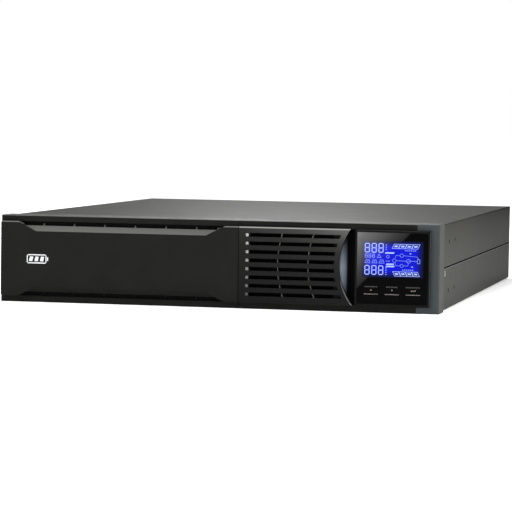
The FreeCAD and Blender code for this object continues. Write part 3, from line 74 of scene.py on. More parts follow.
class Shader:
    """A node material under construction, with the principled shader's sockets set by name."""

    def __init__(self, name, **values):
        self.material = bpy.data.materials.new(name)
        self.material.use_nodes = True
        self.tree = self.material.node_tree
        self.principled = self.tree.nodes["Principled BSDF"]
        for socket, value in values.items():
            self.principled.inputs[socket.replace("_", " ")].default_value = value
        self.place = self.add("ShaderNodeTexCoord").outputs["Object"]

    def add(self, kind, **settings):
        """A node whose settings are input values where it has such an input, else properties."""
        node = self.tree.nodes.new(kind)
        for name, value in settings.items():
            if name in node.inputs:
                node.inputs[name].default_value = value
            else:
                setattr(node, name, value)
        return node

    def link(self, source, target):
        self.tree.links.new(source, target)

    def noise(self, scale, detail=3.0, stretch=(1, 1, 1)):
        mapping = self.add("ShaderNodeMapping")
        mapping.inputs["Scale"].default_value = stretch
        texture = self.add("ShaderNodeTexNoise", Scale=scale, Detail=detail)
        self.link(self.place, mapping.inputs["Vector"])
        self.link(mapping.outputs["Vector"], texture.inputs["Vector"])
        return texture.outputs["Fac"]

    def cells(self, scale):
        texture = self.add("ShaderNodeTexVoronoi", Scale=scale)
        self.link(self.place, texture.inputs["Vector"])
        return texture.outputs["Distance"]

    def span(self, source, from_range=(0, 1), to_range=(0, 1), **settings):
        """Carries one range of values over to another."""
        span = self.add("ShaderNodeMapRange", **settings)
        for end, bounds in (("From", from_range), ("To", to_range)):
            span.inputs[f"{end} Min"].default_value = bounds[0]
            span.inputs[f"{end} Max"].default_value = bounds[1]
        self.link(source, span.inputs["Value"])
        return span.outputs["Result"]

    def axis(self, letter, low, high, **settings):
        """0 at one place along an axis and 1 at another, fixed to the object."""
        split = self.add("ShaderNodeSeparateXYZ")
        self.link(self.place, split.inputs["Vector"])
        return self.span(split.outputs[letter], (low, high), **settings)

    def math(self, operation, *operands):
        node = self.add("ShaderNodeMath", operation=operation)
        for socket, value in zip(node.inputs, operands):
            if isinstance(value, bpy.types.NodeSocket):
                self.link(value, socket)
            else:
                socket.default_value = value
        return node.outputs["Value"]

    def ramp(self, source, stops):
        ramp = self.add("ShaderNodeValToRGB")
        elements = ramp.color_ramp.elements
        while len(elements) < len(stops):
            elements.new(0.5)
        for element, (position, colour) in zip(elements, stops):
            element.position = position
            element.color = (*colour, 1)
        self.link(source, ramp.inputs["Fac"])
        return ramp.outputs["Color"]

    def mix(self, factor, first, second, mode="MIX"):
        node = self.add("ShaderNodeMix", data_type="RGBA", blend_type=mode)
        factor_socket, first_socket, second_socket = node.inputs[0], node.inputs[6], node.inputs[7]
        for socket, value in ((factor_socket, factor), (first_socket, first), (second_socket, second)):
            if isinstance(value, bpy.types.NodeSocket):
                self.link(value, socket)
            else:
                socket.default_value = value
        return node.outputs[2]

    def colour(self, source):
        self.link(source, self.principled.inputs["Base Color"])
        return self

    def drift(self, base, spread, scale, stretch=(1, 1, 1)):
        """A colour that drifts a little lighter and darker over the surface."""
        dark = tuple(channel * (1 - spread) for channel in base)
        light = tuple(channel * (1 + spread) for channel in base)
        return self.ramp(self.noise(scale, 4, stretch), [(NOISE_LOW, dark), (NOISE_HIGH, light)])

    def mottle(self, base, spread, scale, stretch=(1, 1, 1)):
        return self.colour(self.drift(base, spread, scale, stretch))

    def vary_roughness(self, low, high, scale):
        rough = self.span(self.noise(scale, 4), (NOISE_LOW, NOISE_HIGH), (low, high))
        self.link(rough, self.principled.inputs["Roughness"])
        return self

    def facing(self, letter, stops):
        """A colour ramp over one component of the surface's own normal."""
        split = self.add("ShaderNodeSeparateXYZ")
        self.link(self.add("ShaderNodeTexCoord").outputs["Normal"], split.inputs["Vector"])
        return self.ramp(split.outputs[letter], stops)

    def slope_highlight(self, before_highlight, highlight_colour):
        """A pale painted highlight on the slopes that face up, standing in for overhead light, with less of
        it on level faces.
        """
        # Painted highlight: the mask is strongest on upward slopes, where overhead light falls
        highlight_mask = self.facing("Z", [(0.2, BLACK), (0.55, WHITE), (0.8, WHITE), (1.0, (0.08, 0.08, 0.08))])
        return self.mix(highlight_mask, before_highlight, (*highlight_colour, 1))

    def bump(self, source, strength, distance):
        bump = self.add("ShaderNodeBump", Strength=strength, Distance=distance)
        self.link(source, bump.inputs["Height"])
        self.link(bump.outputs["Normal"], self.principled.inputs["Normal"])
        return self

    def grain(self, strength=0.1, distance=0.06 * MM):
        """The fine spark-eroded grain of moulded plastic."""
        return self.bump(self.noise(2600, 2), strength, distance)


def powder_coat():
    """Textured dark coat with less sheen high on the sides than on the top and low on the sides."""
    paint = Shader("powder_coat")
    paint.mottle((0.0185, 0.0185, 0.0168), 0.02, 60)
    paint.vary_roughness(0.42, 0.44, 25)
    cover_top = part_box("top_cover")[1].z
    below_top = paint.axis("Z", cover_top - 1 * MM, cover_top - 33 * MM)
    upward = paint.facing("Z", [(0.5, BLACK), (0.9, WHITE)])
    sheen = paint.span(paint.math("MAXIMUM", below_top, upward), to_range=(0.0004, 0.003))
    paint.link(sheen, paint.principled.inputs["Specular IOR Level"])
    return paint.bump(paint.cells(1500), 0.2, 0.1 * MM).material


def plated_steel():
    steel = Shader("plated_steel", Metallic=1.0)
    steel.mottle((0.36, 0.37, 0.37), 0.1, 12, (1, 8, 1))
    steel.vary_roughness(0.28, 0.42, 30)
    return steel.bump(steel.noise(900, 2, (1, 0.05, 1)), 0.1, 0.05 * MM).material


def moulded(name, base, low, high, grain=0.12, level=0.3):
    """Grained plastic whose roughness drifts between low and high."""
    plastic = Shader(name, Specular_IOR_Level=level)
    plastic.mottle(base, 0.08, 40)
    plastic.vary_roughness(low, high, 30)
    return plastic.grain(grain).material


def front_plastic():
    """Grained black plastic with a painted highlight on its upward slopes, standing in for overhead light.
    """
    plastic = Shader("front_plastic", Specular_IOR_Level=0.03)
    before_highlight = plastic.drift((0.0098, 0.0098, 0.0092), 0.08, 40)
    # Pale painted highlight on upward slopes, standing in for overhead light
    plastic.colour(plastic.slope_highlight(before_highlight, (0.08, 0.08, 0.075)))
    plastic.vary_roughness(0.52, 0.6, 30)
    return plastic.grain().material


def stud_plastic():
    """Pale plastic with painted shade that darkens it from the highest stud to the lowest, as if lit from
    above.
    """
    low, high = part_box("vent_studs")
    plastic = Shader("stud_plastic", Specular_IOR_Level=0.1)
    # Painted shade: the studs darken towards the bottom as if lit from above
    plastic.colour(plastic.ramp(plastic.axis("Z", low.z, high.z),
                                [(0.0, (0.055, 0.055, 0.055)), (1.0, (0.32, 0.32, 0.31))]))
    plastic.vary_roughness(0.3, 0.39, 30)
    return plastic.grain(0.08, 0.05 * MM).material


def glossy(name, base, roughness=0.06, level=0.5):
    plastic = Shader(name, Specular_IOR_Level=level)
    plastic.mottle(base, 0.05, 25)
    plastic.vary_roughness(roughness, roughness * 1.8, 18)
    return plastic.bump(plastic.noise(22, 2), 0.02, 0.4 * MM).material


def cap_plastic():
    """Blue-grey in front and a darker warm grey on the face that looks sideways, painted shade for how the
    light falls on that face.
    """
    plastic = Shader("cap_plastic", Specular_IOR_Level=0.01)
    front = plastic.drift((0.045, 0.0515, 0.0548), 0.045, 40)
    side_shade_mask = plastic.facing("X", [(0.35, BLACK), (0.6, WHITE)])
    # Painted shade: the sideways face gets a darker tone, though cap and side are one plastic
    plastic.colour(plastic.mix(side_shade_mask, front, (0.0235, 0.0235, 0.0212, 1)))
    plastic.vary_roughness(0.5, 0.58, 30)
    return plastic.grain().material


def scoop_plastic():
    """Polished black with a painted blue-grey reflection that fades to black towards the display, and is
    black behind the grille.
    """
    low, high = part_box("finger_scoop")
    plastic = Shader("scoop_plastic", Roughness=0.4, Specular_IOR_Level=0.03)
    # Painted reflection of a soft light: a blue-grey band across the scoop, fading to black towards the
    # display and towards its top and bottom
    along = plastic.ramp(plastic.axis("X", low.x, high.x),
                         [(0.0, (0.16, 0.175, 0.195)), (0.22, (0.22, 0.26, 0.31)),
                          (0.36, (0.13, 0.155, 0.19)), (0.45, (0.004, 0.005, 0.006)),
                          (0.55, (0.001, 0.001, 0.001))])
    ends = plastic.ramp(plastic.axis("Z", low.z, high.z),
                        [(0.05, (0.03, 0.03, 0.03)), (0.32, (0.75, 0.75, 0.75)), (0.5, WHITE),
                         (0.85, (0.1, 0.1, 0.1))])
    painted_reflection = plastic.mix(1.0, along, ends, "MULTIPLY")
    flat = plastic.add("ShaderNodeVectorMath", operation="MULTIPLY")
    flat.inputs[1].default_value = (1, 0, 1)
    plastic.link(plastic.place, flat.inputs[0])
    reach = plastic.add("ShaderNodeVectorMath", operation="DISTANCE")
    reach.inputs[1].default_value = (ARC_CENTRE[0], 0, ARC_CENTRE[1])
    plastic.link(flat.outputs["Vector"], reach.inputs[0])
    behind = plastic.span(reach.outputs["Value"], (ARC_RADIUS - 0.4 * MM, ARC_RADIUS + 0.2 * MM))
    plastic.colour(plastic.mix(behind, painted_reflection, (0.003, 0.003, 0.003, 1)))
    return plastic.bump(plastic.noise(1500, 2), 0.03, 0.04 * MM).material


def sheen_fade(shader):
    """0 at the display's upper left corner and 1 on a diagonal across it; it places a painted reflection.
    """
    low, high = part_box("display_window")
    across = shader.axis("X", low.x, low.x + (high.x - low.x) * 0.76, clamp=False)
    down = shader.axis("Z", high.z, high.z - (high.z - low.z) * 0.8, clamp=False)
    return shader.math("ADD", across, down)


def window_plastic():
    """Gloss black with a painted grey reflection in its upper left half, fading diagonally."""
    pane = Shader("window_plastic", Roughness=0.06, Specular_IOR_Level=0.018)
    painted_greys = [(0.0, 0.135), (0.2, 0.088), (0.45, 0.06), (0.6, 0.042),
             (0.75, 0.026), (0.97, 0.013), (1.0, 0.0008)]
    # Painted reflection: grey at the upper left corner, fading to black across a diagonal
    pane.colour(pane.ramp(sheen_fade(pane), [(at, (grey, grey, grey)) for at, grey in painted_greys]))
    return pane.bump(pane.noise(22, 2), 0.02, 0.3 * MM).material


def screen_glass():
    """Blue backlight, brightest in the middle and softer towards the edges, under a painted grey reflection
    in its upper left half.
    """
    low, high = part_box("lcd_panel")
    middle = (low + high) / 2
    glass = Shader("screen_glass", Roughness=0.12, Emission_Strength=1.0, Specular_IOR_Level=0.03)
    # Painted reflection: grey in the upper left, fading across the screen
    glass.colour(glass.ramp(sheen_fade(glass),
                            [(0.0, (0.1, 0.1, 0.11)), (0.45, (0.045, 0.045, 0.055)),
                             (0.8, (0.012, 0.012, 0.02)), (1.0, (0.002, 0.003, 0.01))]))
    glow = None
    for letter, start, end, reach in (("X", low.x, middle.x, 0.3), ("X", high.x, middle.x, 0.3),
                                      ("Z", low.z, middle.z, 0.42), ("Z", high.z, middle.z, 0.42)):
        edge = glass.span(glass.axis(letter, start, end), (0, reach), interpolation_type="SMOOTHSTEP")
        glow = glass.math("MULTIPLY", glow, edge) if glow else edge
    blue = glass.ramp(glow, [(0.0, (0.001, 0.0015, 0.03)), (0.4, (0.002, 0.003, 0.22)),
                             (1.0, (0.003, 0.006, 0.68))])
    glass.link(blue, glass.principled.inputs["Emission Color"])
    return glass.material


def board_laminate():
    board = Shader("board_laminate", Roughness=0.35)
    board.colour(board.ramp(board.noise(400, 4), [(0.4, (0.01, 0.07, 0.03)), (0.6, (0.015, 0.1, 0.045))]))
    return board.bump(board.cells(350), 0.1, 0.1 * MM).material


def metal(name, base, low, high):
    shiny = Shader(name, Metallic=1.0)
    shiny.mottle(base, 0.06, 80)
    shiny.vary_roughness(low, high, 120)
    return shiny.bump(shiny.noise(1200, 2), 0.04, 0.03 * MM).material


def ink(name, colour):
    print_ink = Shader(name, Roughness=0.5, Specular_IOR_Level=0.1)
    print_ink.mottle(colour, 0.06, 900)
    return print_ink.material


def back_lit(name, colour):
    """Clear marks that the backlight shines through."""
    glow = Shader(name, Roughness=0.3, Specular_IOR_Level=0.03, Emission_Strength=1.0)
    glow.mottle(tuple(channel * 0.15 for channel in colour), 0.05, 900)
    dim = tuple(channel * 0.93 for channel in colour)
    shade = glow.ramp(glow.noise(900, 2), [(NOISE_LOW, dim), (NOISE_HIGH, colour)])
    glow.link(shade, glow.principled.inputs["Emission Color"])
    return glow.material


def grille_plastic():
    """Satin black, painted lighter towards the top and the scoop as a highlight where the bars catch light
    from above, with painted highlights on upward slopes.
    """
    low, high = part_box("vent_grille")
    plastic = Shader("grille_plastic", Specular_IOR_Level=0.08)
    # Painted highlight: lighter towards the top and towards the scoop
    rise = plastic.math("MULTIPLY", plastic.axis("Z", low.z, high.z), 0.75)
    lit_gradient = plastic.math("MULTIPLY_ADD", plastic.axis("X", low.x, high.x), 0.25, rise)
    painted_greys = [(0.0, 0.0022), (0.35, 0.0055), (0.55, 0.0072), (0.72, 0.0125), (0.85, 0.03), (1.0, 0.085)]
    before_highlight = plastic.ramp(lit_gradient, [(at, (grey, grey, grey * 0.96)) for at, grey in painted_greys])
    # Pale painted highlight on upward slopes
    plastic.colour(plastic.slope_highlight(before_highlight, (0.16, 0.16, 0.15)))
    plastic.vary_roughness(0.42, 0.52, 30)
    return plastic.grain(0.08, 0.05 * MM).material


def shade_foam():
    """Black open-cell foam: a dark sheet standing in for the shade inside the unit."""
    cloth = Shader("shade_foam", Roughness=0.95, Specular_IOR_Level=0.05)
    pores = cloth.cells(700)
    cloth.colour(cloth.ramp(pores, [(0.2, (0.0015, 0.0015, 0.0015)), (0.8, (0.004, 0.004, 0.004))]))
    return cloth.bump(pores, 0.6, 0.5 * MM).material


# One material for each slot of the record
MATERIALS = {
    "powder_coat": powder_coat(),
    "plated_steel": plated_steel(),
    "pad_rubber": moulded("pad_rubber", (0.02, 0.02, 0.02), 0.7, 0.85, grain=0.3),
    "front_plastic": front_plastic(),
    "cap_plastic": cap_plastic(),
    "scoop_plastic": scoop_plastic(),
    "stud_plastic": stud_plastic(),
    "badge_plastic": glossy("badge_plastic", (0.0025, 0.0025, 0.0025), roughness=0.12, level=0.12),
    "display_plastic": moulded("display_plastic", (0.003, 0.003, 0.003), 0.4, 0.48, grain=0.05, level=0.06),
    "window_plastic": window_plastic(),
    "key_plastic": glossy("key_plastic", (0.0012, 0.0012, 0.0012), roughness=0.14, level=0.02),
    "screen_glass": screen_glass(),
    "battery_plastic": moulded("battery_plastic", (0.035, 0.036, 0.04), 0.45, 0.6, grain=0.25),
    "tab_brass": metal("tab_brass", (0.75, 0.72, 0.62), 0.25, 0.4),
    "link_plastic": moulded("link_plastic", (0.3, 0.015, 0.015), 0.4, 0.5),
    "connector_plastic": moulded("connector_plastic", (0.045, 0.045, 0.05), 0.4, 0.5),
    "board_laminate": board_laminate(),
    "post_brass": metal("post_brass", (0.36, 0.26, 0.13), 0.35, 0.45),
    "heatsink_aluminium": metal("heatsink_aluminium", (0.5, 0.51, 0.53), 0.3, 0.45),
    "package_plastic": moulded("package_plastic", (0.015, 0.015, 0.015), 0.5, 0.6),
    "capacitor_sleeve": glossy("capacitor_sleeve", (0.01, 0.015, 0.06), roughness=0.25),
    "choke_wire": metal("choke_wire", (0.5, 0.2, 0.07), 0.3, 0.4),
    "fan_plastic": moulded("fan_plastic", (0.012, 0.012, 0.012), 0.4, 0.5),
    "rotor_plastic": moulded("rotor_plastic", (0.014, 0.014, 0.014), 0.3, 0.4),
    "guard_chrome": metal("guard_chrome", (0.36, 0.36, 0.37), 0.16, 0.26),
    "socket_plastic": moulded("socket_plastic", (0.012, 0.012, 0.012), 0.4, 0.5),
    "button_plastic": moulded("button_plastic", (0.02, 0.02, 0.02), 0.3, 0.4),
    "pin_metal": metal("pin_metal", (0.46, 0.45, 0.42), 0.18, 0.28),
    "port_plastic": moulded("port_plastic", (0.02, 0.02, 0.02), 0.4, 0.5),
    "port_metal": metal("port_metal", (0.33, 0.33, 0.33), 0.25, 0.36),
}

# Nodes that look different from the rest of their slot
NODE_MATERIALS = {
    "vent_grille": grille_plastic(),
    "case_screws": metal("black_zinc", (0.16, 0.16, 0.155), 0.3, 0.4),
}

SCREEN_WHITE = back_lit("screen_white", (0.4, 0.52, 1.0))
SCREEN_DIM = back_lit("screen_dim", (0.24, 0.34, 0.92))
# Grey print for the key signs, also used for the keys' painted highlight bars
PRINT_AND_HIGHLIGHT_GREY = ink("print_and_highlight_grey", (0.26, 0.225, 0.215))
PRINT_FAINT = ink("print_faint", (0.05, 0.05, 0.05))
PRINT_WHITE = ink("print_white", (0.62, 0.63, 0.64))
# A dark sheet that stands in for the shade behind the slots and vents
SHADE_FOAM = shade_foam()
# Painted highlights on the grille's ribs and along the scoop's arc
RIB_HIGHLIGHT = moulded("rib_highlight", (0.1, 0.1, 0.095), 0.4, 0.5, level=0.1)
ARC_HIGHLIGHT = moulded("arc_highlight", (0.36, 0.37, 0.38), 0.3, 0.4, level=0.2)
# Painted shade in gaps, and a painted highlight below the side seams
GAP_SHADOW = moulded("seam_shadow", (0.0015, 0.0015, 0.0015), 0.8, 0.9, level=0.0)
LIT_EDGE = moulded("seam_highlight", (0.075, 0.075, 0.07), 0.4, 0.5, level=0.1)
# Painted shade along the cover's bends
BEND_SHADE = moulded("bend_shadow", (0.012, 0.012, 0.012), 0.8, 0.9, level=0.0)


def dress_nodes():
    for entry in frame["record"]["subparts"]:
        name = entry["node"]
        slots = frame["nodes"][name].data.materials
        slots.clear()
        slots.append(NODE_MATERIALS.get(name, MATERIALS[entry["material_slot"]]))


# Making pieces

def add_piece(name, data):
    piece = bpy.data.objects.new(name, data)
    bpy.context.scene.collection.objects.link(piece)
    return piece


def add_mesh(name, mesh):
    """The finished bmesh as a piece of the scene."""
    data = bpy.data.meshes.new(name)
    mesh.to_mesh(data)
    mesh.free()
    return add_piece(name, data)


def finish_piece(piece, material, body):
    piece.data.materials.append(material)
    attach(piece, body)


def plates(name, outlines, face_y, thickness=MARK_THICKNESS):
    """Thin plates from closed outlines in the x-z plane; each outline is a list of (x, z)."""
    mesh = bmesh.new()
    for outline in outlines:
        front = [mesh.verts.new((x, face_y, z)) for x, z in outline]
        back = [mesh.verts.new((x, face_y + thickness, z)) for x, z in outline]
        mesh.faces.new(front)
        mesh.faces.new(list(reversed(back)))
        count = len(outline)
        for index in range(count):
            following = (index + 1) % count
            mesh.faces.new((front[following], front[index], back[index], back[following]))
    bmesh.ops.recalc_face_normals(mesh, faces=mesh.faces)
    return add_mesh(name, mesh)


def slab(name, xs, ys, zs, edge=0.4 * MM):
    """A closed block with softened edges, given its two ends along each axis."""
    mesh = bmesh.new()
    bmesh.ops.create_cube(mesh, size=1)
    for vert in mesh.verts:
        vert.co = Vector(ends[0] if place < 0 else ends[1] for ends, place in zip((xs, ys, zs), vert.co))
    bmesh.ops.bevel(mesh, geom=mesh.edges, offset=edge, segments=2, affect="EDGES")
    return add_mesh(name, mesh)


def arc_wire(name, centre, radius, face_y, thickness, spans):
    """Round wires along the left side of a circle in the x-z plane, one for each span of height."""
    curve = bpy.data.curves.new(name, "CURVE")
    curve.dimensions = "3D"
    curve.bevel_depth = thickness / 2
    curve.bevel_resolution = 2
    curve.use_fill_caps = True
    steps = 8
    for start, end in spans:
        line = curve.splines.new("POLY")
        line.points.add(steps)
        for index, point in enumerate(line.points):
            z = start + (end - start) * index / steps
            x = centre[0] - math.sqrt(radius ** 2 - (z - centre[1]) ** 2)
            point.co = (x, face_y, z, 1)
    return add_piece(name, curve)


# Outlines of flat marks, in the x-z plane

def stroke(start, end, width):
    """A straight bar between two points, half its width longer at each end."""
    (x0, z0), (x1, z1) = start, end
    run = Vector((x1 - x0, z1 - z0)).normalized() * (width / 2)
    side = Vector((-run.y, run.x))
    return [(x0 - run.x + side.x, z0 - run.y + side.y), (x0 - run.x - side.x, z0 - run.y - side.y),
            (x1 + run.x - side.x, z1 + run.y - side.y), (x1 + run.x + side.x, z1 + run.y + side.y)]


def strokes(points, width, closed=False):
    following = points[1:] + points[:1] if closed else points[1:]
    return [stroke(start, end, width) for start, end in zip(points, following)]


def ring(centre, radius, width, count):
    turns = [2 * math.pi * index / count for index in range(count)]
    points = [(centre[0] + radius * math.cos(turn), centre[1] + radius * math.sin(turn)) for turn in turns]
    return strokes(points, width, closed=True)


def tile(left, low, width, height, lean=0.0):
    """A block whose top is shifted sideways by its lean."""
    right, high = left + width, low + height
    return [(left, low), (right, low), (right + lean, high), (left + lean, high)]


def triangle(centre, half_width, base, tip):
    """A triangle pointing up or down, with its base and tip at these heights."""
    return [(centre - half_width, base), (centre + half_width, base), (centre, tip)]


def digit_eight(left, low, width, height, thick):
    """The seven segments of one digit, all lit, with mitred ends."""
    right, high, middle = left + width, low + height, low + height / 2
    gap = thick * 0.12
    half = thick / 2
    shapes = []
    for level in (low + half, middle, high - half):
        start, end = left + half + gap, right - half - gap
        shapes.append([(start, level), (start + half, level + half), (end - half, level + half),
                       (end, level), (end - half, level - half), (start + half, level - half)])
    for centre in (left + half, right - half):
        for bottom, top in ((low + half + gap, middle - gap), (middle + gap, high - half - gap)):
            shapes.append([(centre, bottom), (centre + half, bottom + half), (centre + half, top - half),
                           (centre, top), (centre - half, top - half), (centre - half, bottom + half)])
    return shapes


def slanted_cells(left, low, width, lean):
    """A row of four slanted outlined cells, each with a solid block in its middle."""
    count, height, gap, line, inset = 4, 4.2 * MM, 0.5 * MM, 0.4 * MM, 1.3 * MM
    step = width / count
    share = inset / height
    shapes = []
    for index in range(count):
        start = left + step * index
        cell = tile(start, low, step - gap, height, lean)
        shapes += strokes(cell, line, closed=True)
        shapes.append(tile(start + inset + lean * share, low + inset, step - gap - 2 * inset,
                           height - 2 * inset, lean * (1 - 2 * share)))
    return shapes


# The display's marks.  Places on the screen are shares of its width and height, from its lower left corner.

def screen_place():
    low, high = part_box("lcd_panel")
    width, height = high.x - low.x, high.z - low.z
    return lambda across, up: (low.x + width * across, low.z + height * up)


def large_marks():
    """Two rows of large digits, two rows of slanted cells and three slanted bars."""
    at = screen_place()
    shapes = []
    for up in (0.675, 0.065):
        for across in (0.045, 0.157, 0.269):
            shapes += digit_eight(*at(across, up), 5.0 * MM, 9.2 * MM, 0.85 * MM)
    shapes += slanted_cells(*at(0.49, 0.8), 25.5 * MM, 2.0 * MM)
    shapes += slanted_cells(*at(0.54, 0.045), 24.5 * MM, -2.0 * MM)
    for across, up, length in ((0.39, 0.345, 7.5 * MM), (0.39, 0.285, 8.0 * MM), (0.375, 0.655, 8.5 * MM)):
        shapes.append(tile(*at(across, up), length, 1.4 * MM, 0.9 * MM))
    return shapes


def small_signs():
    """Small digits and the rows of small signs beside and below them."""
    at = screen_place()
    shapes = []
    for across in (0.05, 0.11, 0.17):
        shapes += digit_eight(*at(across, 0.53), 2.5 * MM, 4.0 * MM, 0.5 * MM)
    shapes += strokes([at(0.25, 0.54), at(0.28, 0.64), at(0.31, 0.54)], 0.45 * MM, closed=True)
    for across in (0.05, 0.165, 0.28):
        x, z = at(across, 0.39)
        shapes += strokes([(x, z), (x + 1.2 * MM, z + 3 * MM), (x + 4.2 * MM, z + 3 * MM), (x + 5 * MM, z)],
                          0.4 * MM, closed=True)
        shapes.append(stroke((x + 1.6 * MM, z + 0.9 * MM), (x + 3.4 * MM, z + 2.1 * MM), 0.45 * MM))
    shapes += ring(at(0.425, 0.57), 1.3 * MM, 0.4 * MM, 12)
    shapes.append(stroke(at(0.395, 0.45), at(0.455, 0.45), 0.5 * MM))
    return shapes


def unit_dots():
    """Columns and rows of small dots beside the digits and the cells."""
    at = screen_place()
    width, height, pitch = 1.3 * MM, 0.8 * MM, 1.9 * MM
    shapes = [tile(*at(0.385, up), width, height) for up in (0.88, 0.82, 0.76, 0.25, 0.19, 0.13, 0.07)]
    for across, up in ((0.7, 0.735), (0.66, 0.205)):
        x, z = at(across, up)
        shapes += [tile(x + index * pitch, z, width, height) for index in range(6)]
    return shapes


def flow_diagram():
    """Four rings and a box joined by lines, with two small pointers."""
    at = screen_place()
    shapes = []
    for across, up, radius in ((0.53, 0.47, 1.7), (0.65, 0.61, 1.7), (0.76, 0.46, 1.9), (0.65, 0.33, 1.5)):
        shapes += ring(at(across, up), radius * MM, 0.35 * MM, 16)
    bends = ([(0.54, 0.53), (0.555, 0.61), (0.62, 0.61)], [(0.68, 0.61), (0.9, 0.58), (0.925, 0.51)],
             [(0.54, 0.41), (0.555, 0.33), (0.62, 0.33)], [(0.68, 0.33), (0.75, 0.33), (0.76, 0.4)])
    for points in bends:
        shapes += strokes([at(*point) for point in points], 0.3 * MM)
    for start, end in (((0.56, 0.47), (0.725, 0.46)), ((0.795, 0.46), (0.9, 0.46)),
                       ((0.735, 0.44), (0.785, 0.48))):
        shapes.append(stroke(at(*start), at(*end), 0.35 * MM))
    shapes += strokes([at(0.905, 0.51), at(0.905, 0.4), at(0.945, 0.4), at(0.945, 0.51)],
                      0.45 * MM, closed=True)
    for across, up, tall in ((0.79, 0.66, 1.5 * MM), (0.82, 0.31, -1.5 * MM)):
        x, z = at(across, up)
        shapes.append(triangle(x, 1.3 * MM, z + tall / 2, z - tall / 2))
    return shapes


def add_screen_marks():
    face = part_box("lcd_panel")[0].y - PROUD
    finish_piece(plates("lcd_marks", large_marks(), face), SCREEN_WHITE, "display")
    dim = small_signs() + unit_dots() + flow_diagram()
    finish_piece(plates("lcd_small_marks", dim, face), SCREEN_DIM, "display")


# The keys' signs, printed on the window above each key

KEY_TICKS = {"key_up": 9, "key_down": 8, "key_enter": 10}
SIGN_RISE = 2.7 * MM
TICK_RISE = 5.4 * MM


def key_sign(name):
    """A triangle for up or down, or a bent arrow for enter."""
    low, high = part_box(name)
    x, z = (low.x + high.x) / 2, high.z + SIGN_RISE
    half, shoulder, tip = 0.75 * MM, z - 0.5 * MM, z + 0.7 * MM
    if name == "key_up":
        return [triangle(x, half, shoulder, tip)]
    if name == "key_down":
        return [triangle(x, half, tip, shoulder)]
    shaft = strokes([(x + 2.2 * MM, z + 0.8 * MM), (x + 2.2 * MM, z), (x - 1 * MM, z)], 0.45 * MM)
    return shaft + [[(x - 2.2 * MM, z), (x - 0.8 * MM, z - 0.8 * MM), (x - 0.8 * MM, z + 0.8 * MM)]]


def key_ticks(name, count):
    """A faint row of short ticks above the sign."""
    low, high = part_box(name)
    pitch, width, height = 1.4 * MM, 0.9 * MM, 1.1 * MM
    start = (low.x + high.x) / 2 - pitch * count / 2
    return [tile(start + index * pitch, high.z + TICK_RISE, width, height) for index in range(count)]


def add_key_marks():
    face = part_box("display_window")[0].y - PROUD
    signs = [shape for name in KEY_TICKS for shape in key_sign(name)]
    finish_piece(plates("key_marks", signs, face), PRINT_AND_HIGHLIGHT_GREY, "display")
    ticks = [shape for name, count in KEY_TICKS.items() for shape in key_ticks(name, count)]
    finish_piece(plates("key_labels", ticks, face), PRINT_FAINT, "display")


def add_key_bar(key):
    """A painted highlight bar along the key's upper edge: the top of its front and the bevel above it,
    where light from above falls.
    """
    low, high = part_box(key)
    middle, top = (low.x + high.x) / 2, high.z - KEY_FLANGE
    half_width = 6.9 * MM
    front_share = 0.4 * MM
    profile = [(low.y - HAIR, top - KEY_BEVEL - front_share), (low.y - HAIR, top - KEY_BEVEL),
               (low.y + KEY_BEVEL * 0.9 - HAIR, top - KEY_BEVEL * 0.1 + HAIR)]
    mesh = bmesh.new()
    left, right = ([mesh.verts.new((x, y, z)) for y, z in profile]
                   for x in (middle - half_width, middle + half_width))
    for index in range(len(profile) - 1):
        mesh.faces.new((left[index], right[index], right[index + 1], left[index + 1]))
    bmesh.ops.solidify(mesh, geom=mesh.faces, thickness=-0.1 * MM)
    bmesh.ops.recalc_face_normals(mesh, faces=mesh.faces)
    # Painted highlight: a light strip on the key's lit upper edge
    finish_piece(add_mesh(f"{key}_bar", mesh), PRINT_AND_HIGHLIGHT_GREY, key)


def add_badge_mark():
    """A plain battery sign with three slanted charge bars."""
    low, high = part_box("badge_plate")
    x, z = (low.x + high.x) / 2 - 0.8 * MM, (low.z + high.z) / 2
    half_width, half_height, line = 9.6 * MM, 4.0 * MM, 1.0 * MM
    outline = tile(x - half_width, z - half_height, 2 * half_width, 2 * half_height)
    shapes = strokes(outline, line, closed=True)
    nub_width, nub_half_height = 1.3 * MM, 1.7 * MM
    shapes.append(tile(x + half_width + line, z - nub_half_height, nub_width, 2 * nub_half_height))
    bar_width, bar_half_height, bar_pitch, lean = 3.4 * MM, 2.3 * MM, 5.6 * MM, 1.0 * MM
    for index in (-1, 0, 1):
        left = x + index * bar_pitch - (bar_width + lean) / 2
        shapes.append(tile(left, z - bar_half_height, bar_width, 2 * bar_half_height, lean))
    mark = plates("badge_mark", shapes, low.y - 0.03 * MM, 0.05 * MM)
    finish_piece(mark, PRINT_WHITE, "door")


# Dark sheets behind the slots as painted shade, and painted highlights and shade along edges that the solid
# model leaves out

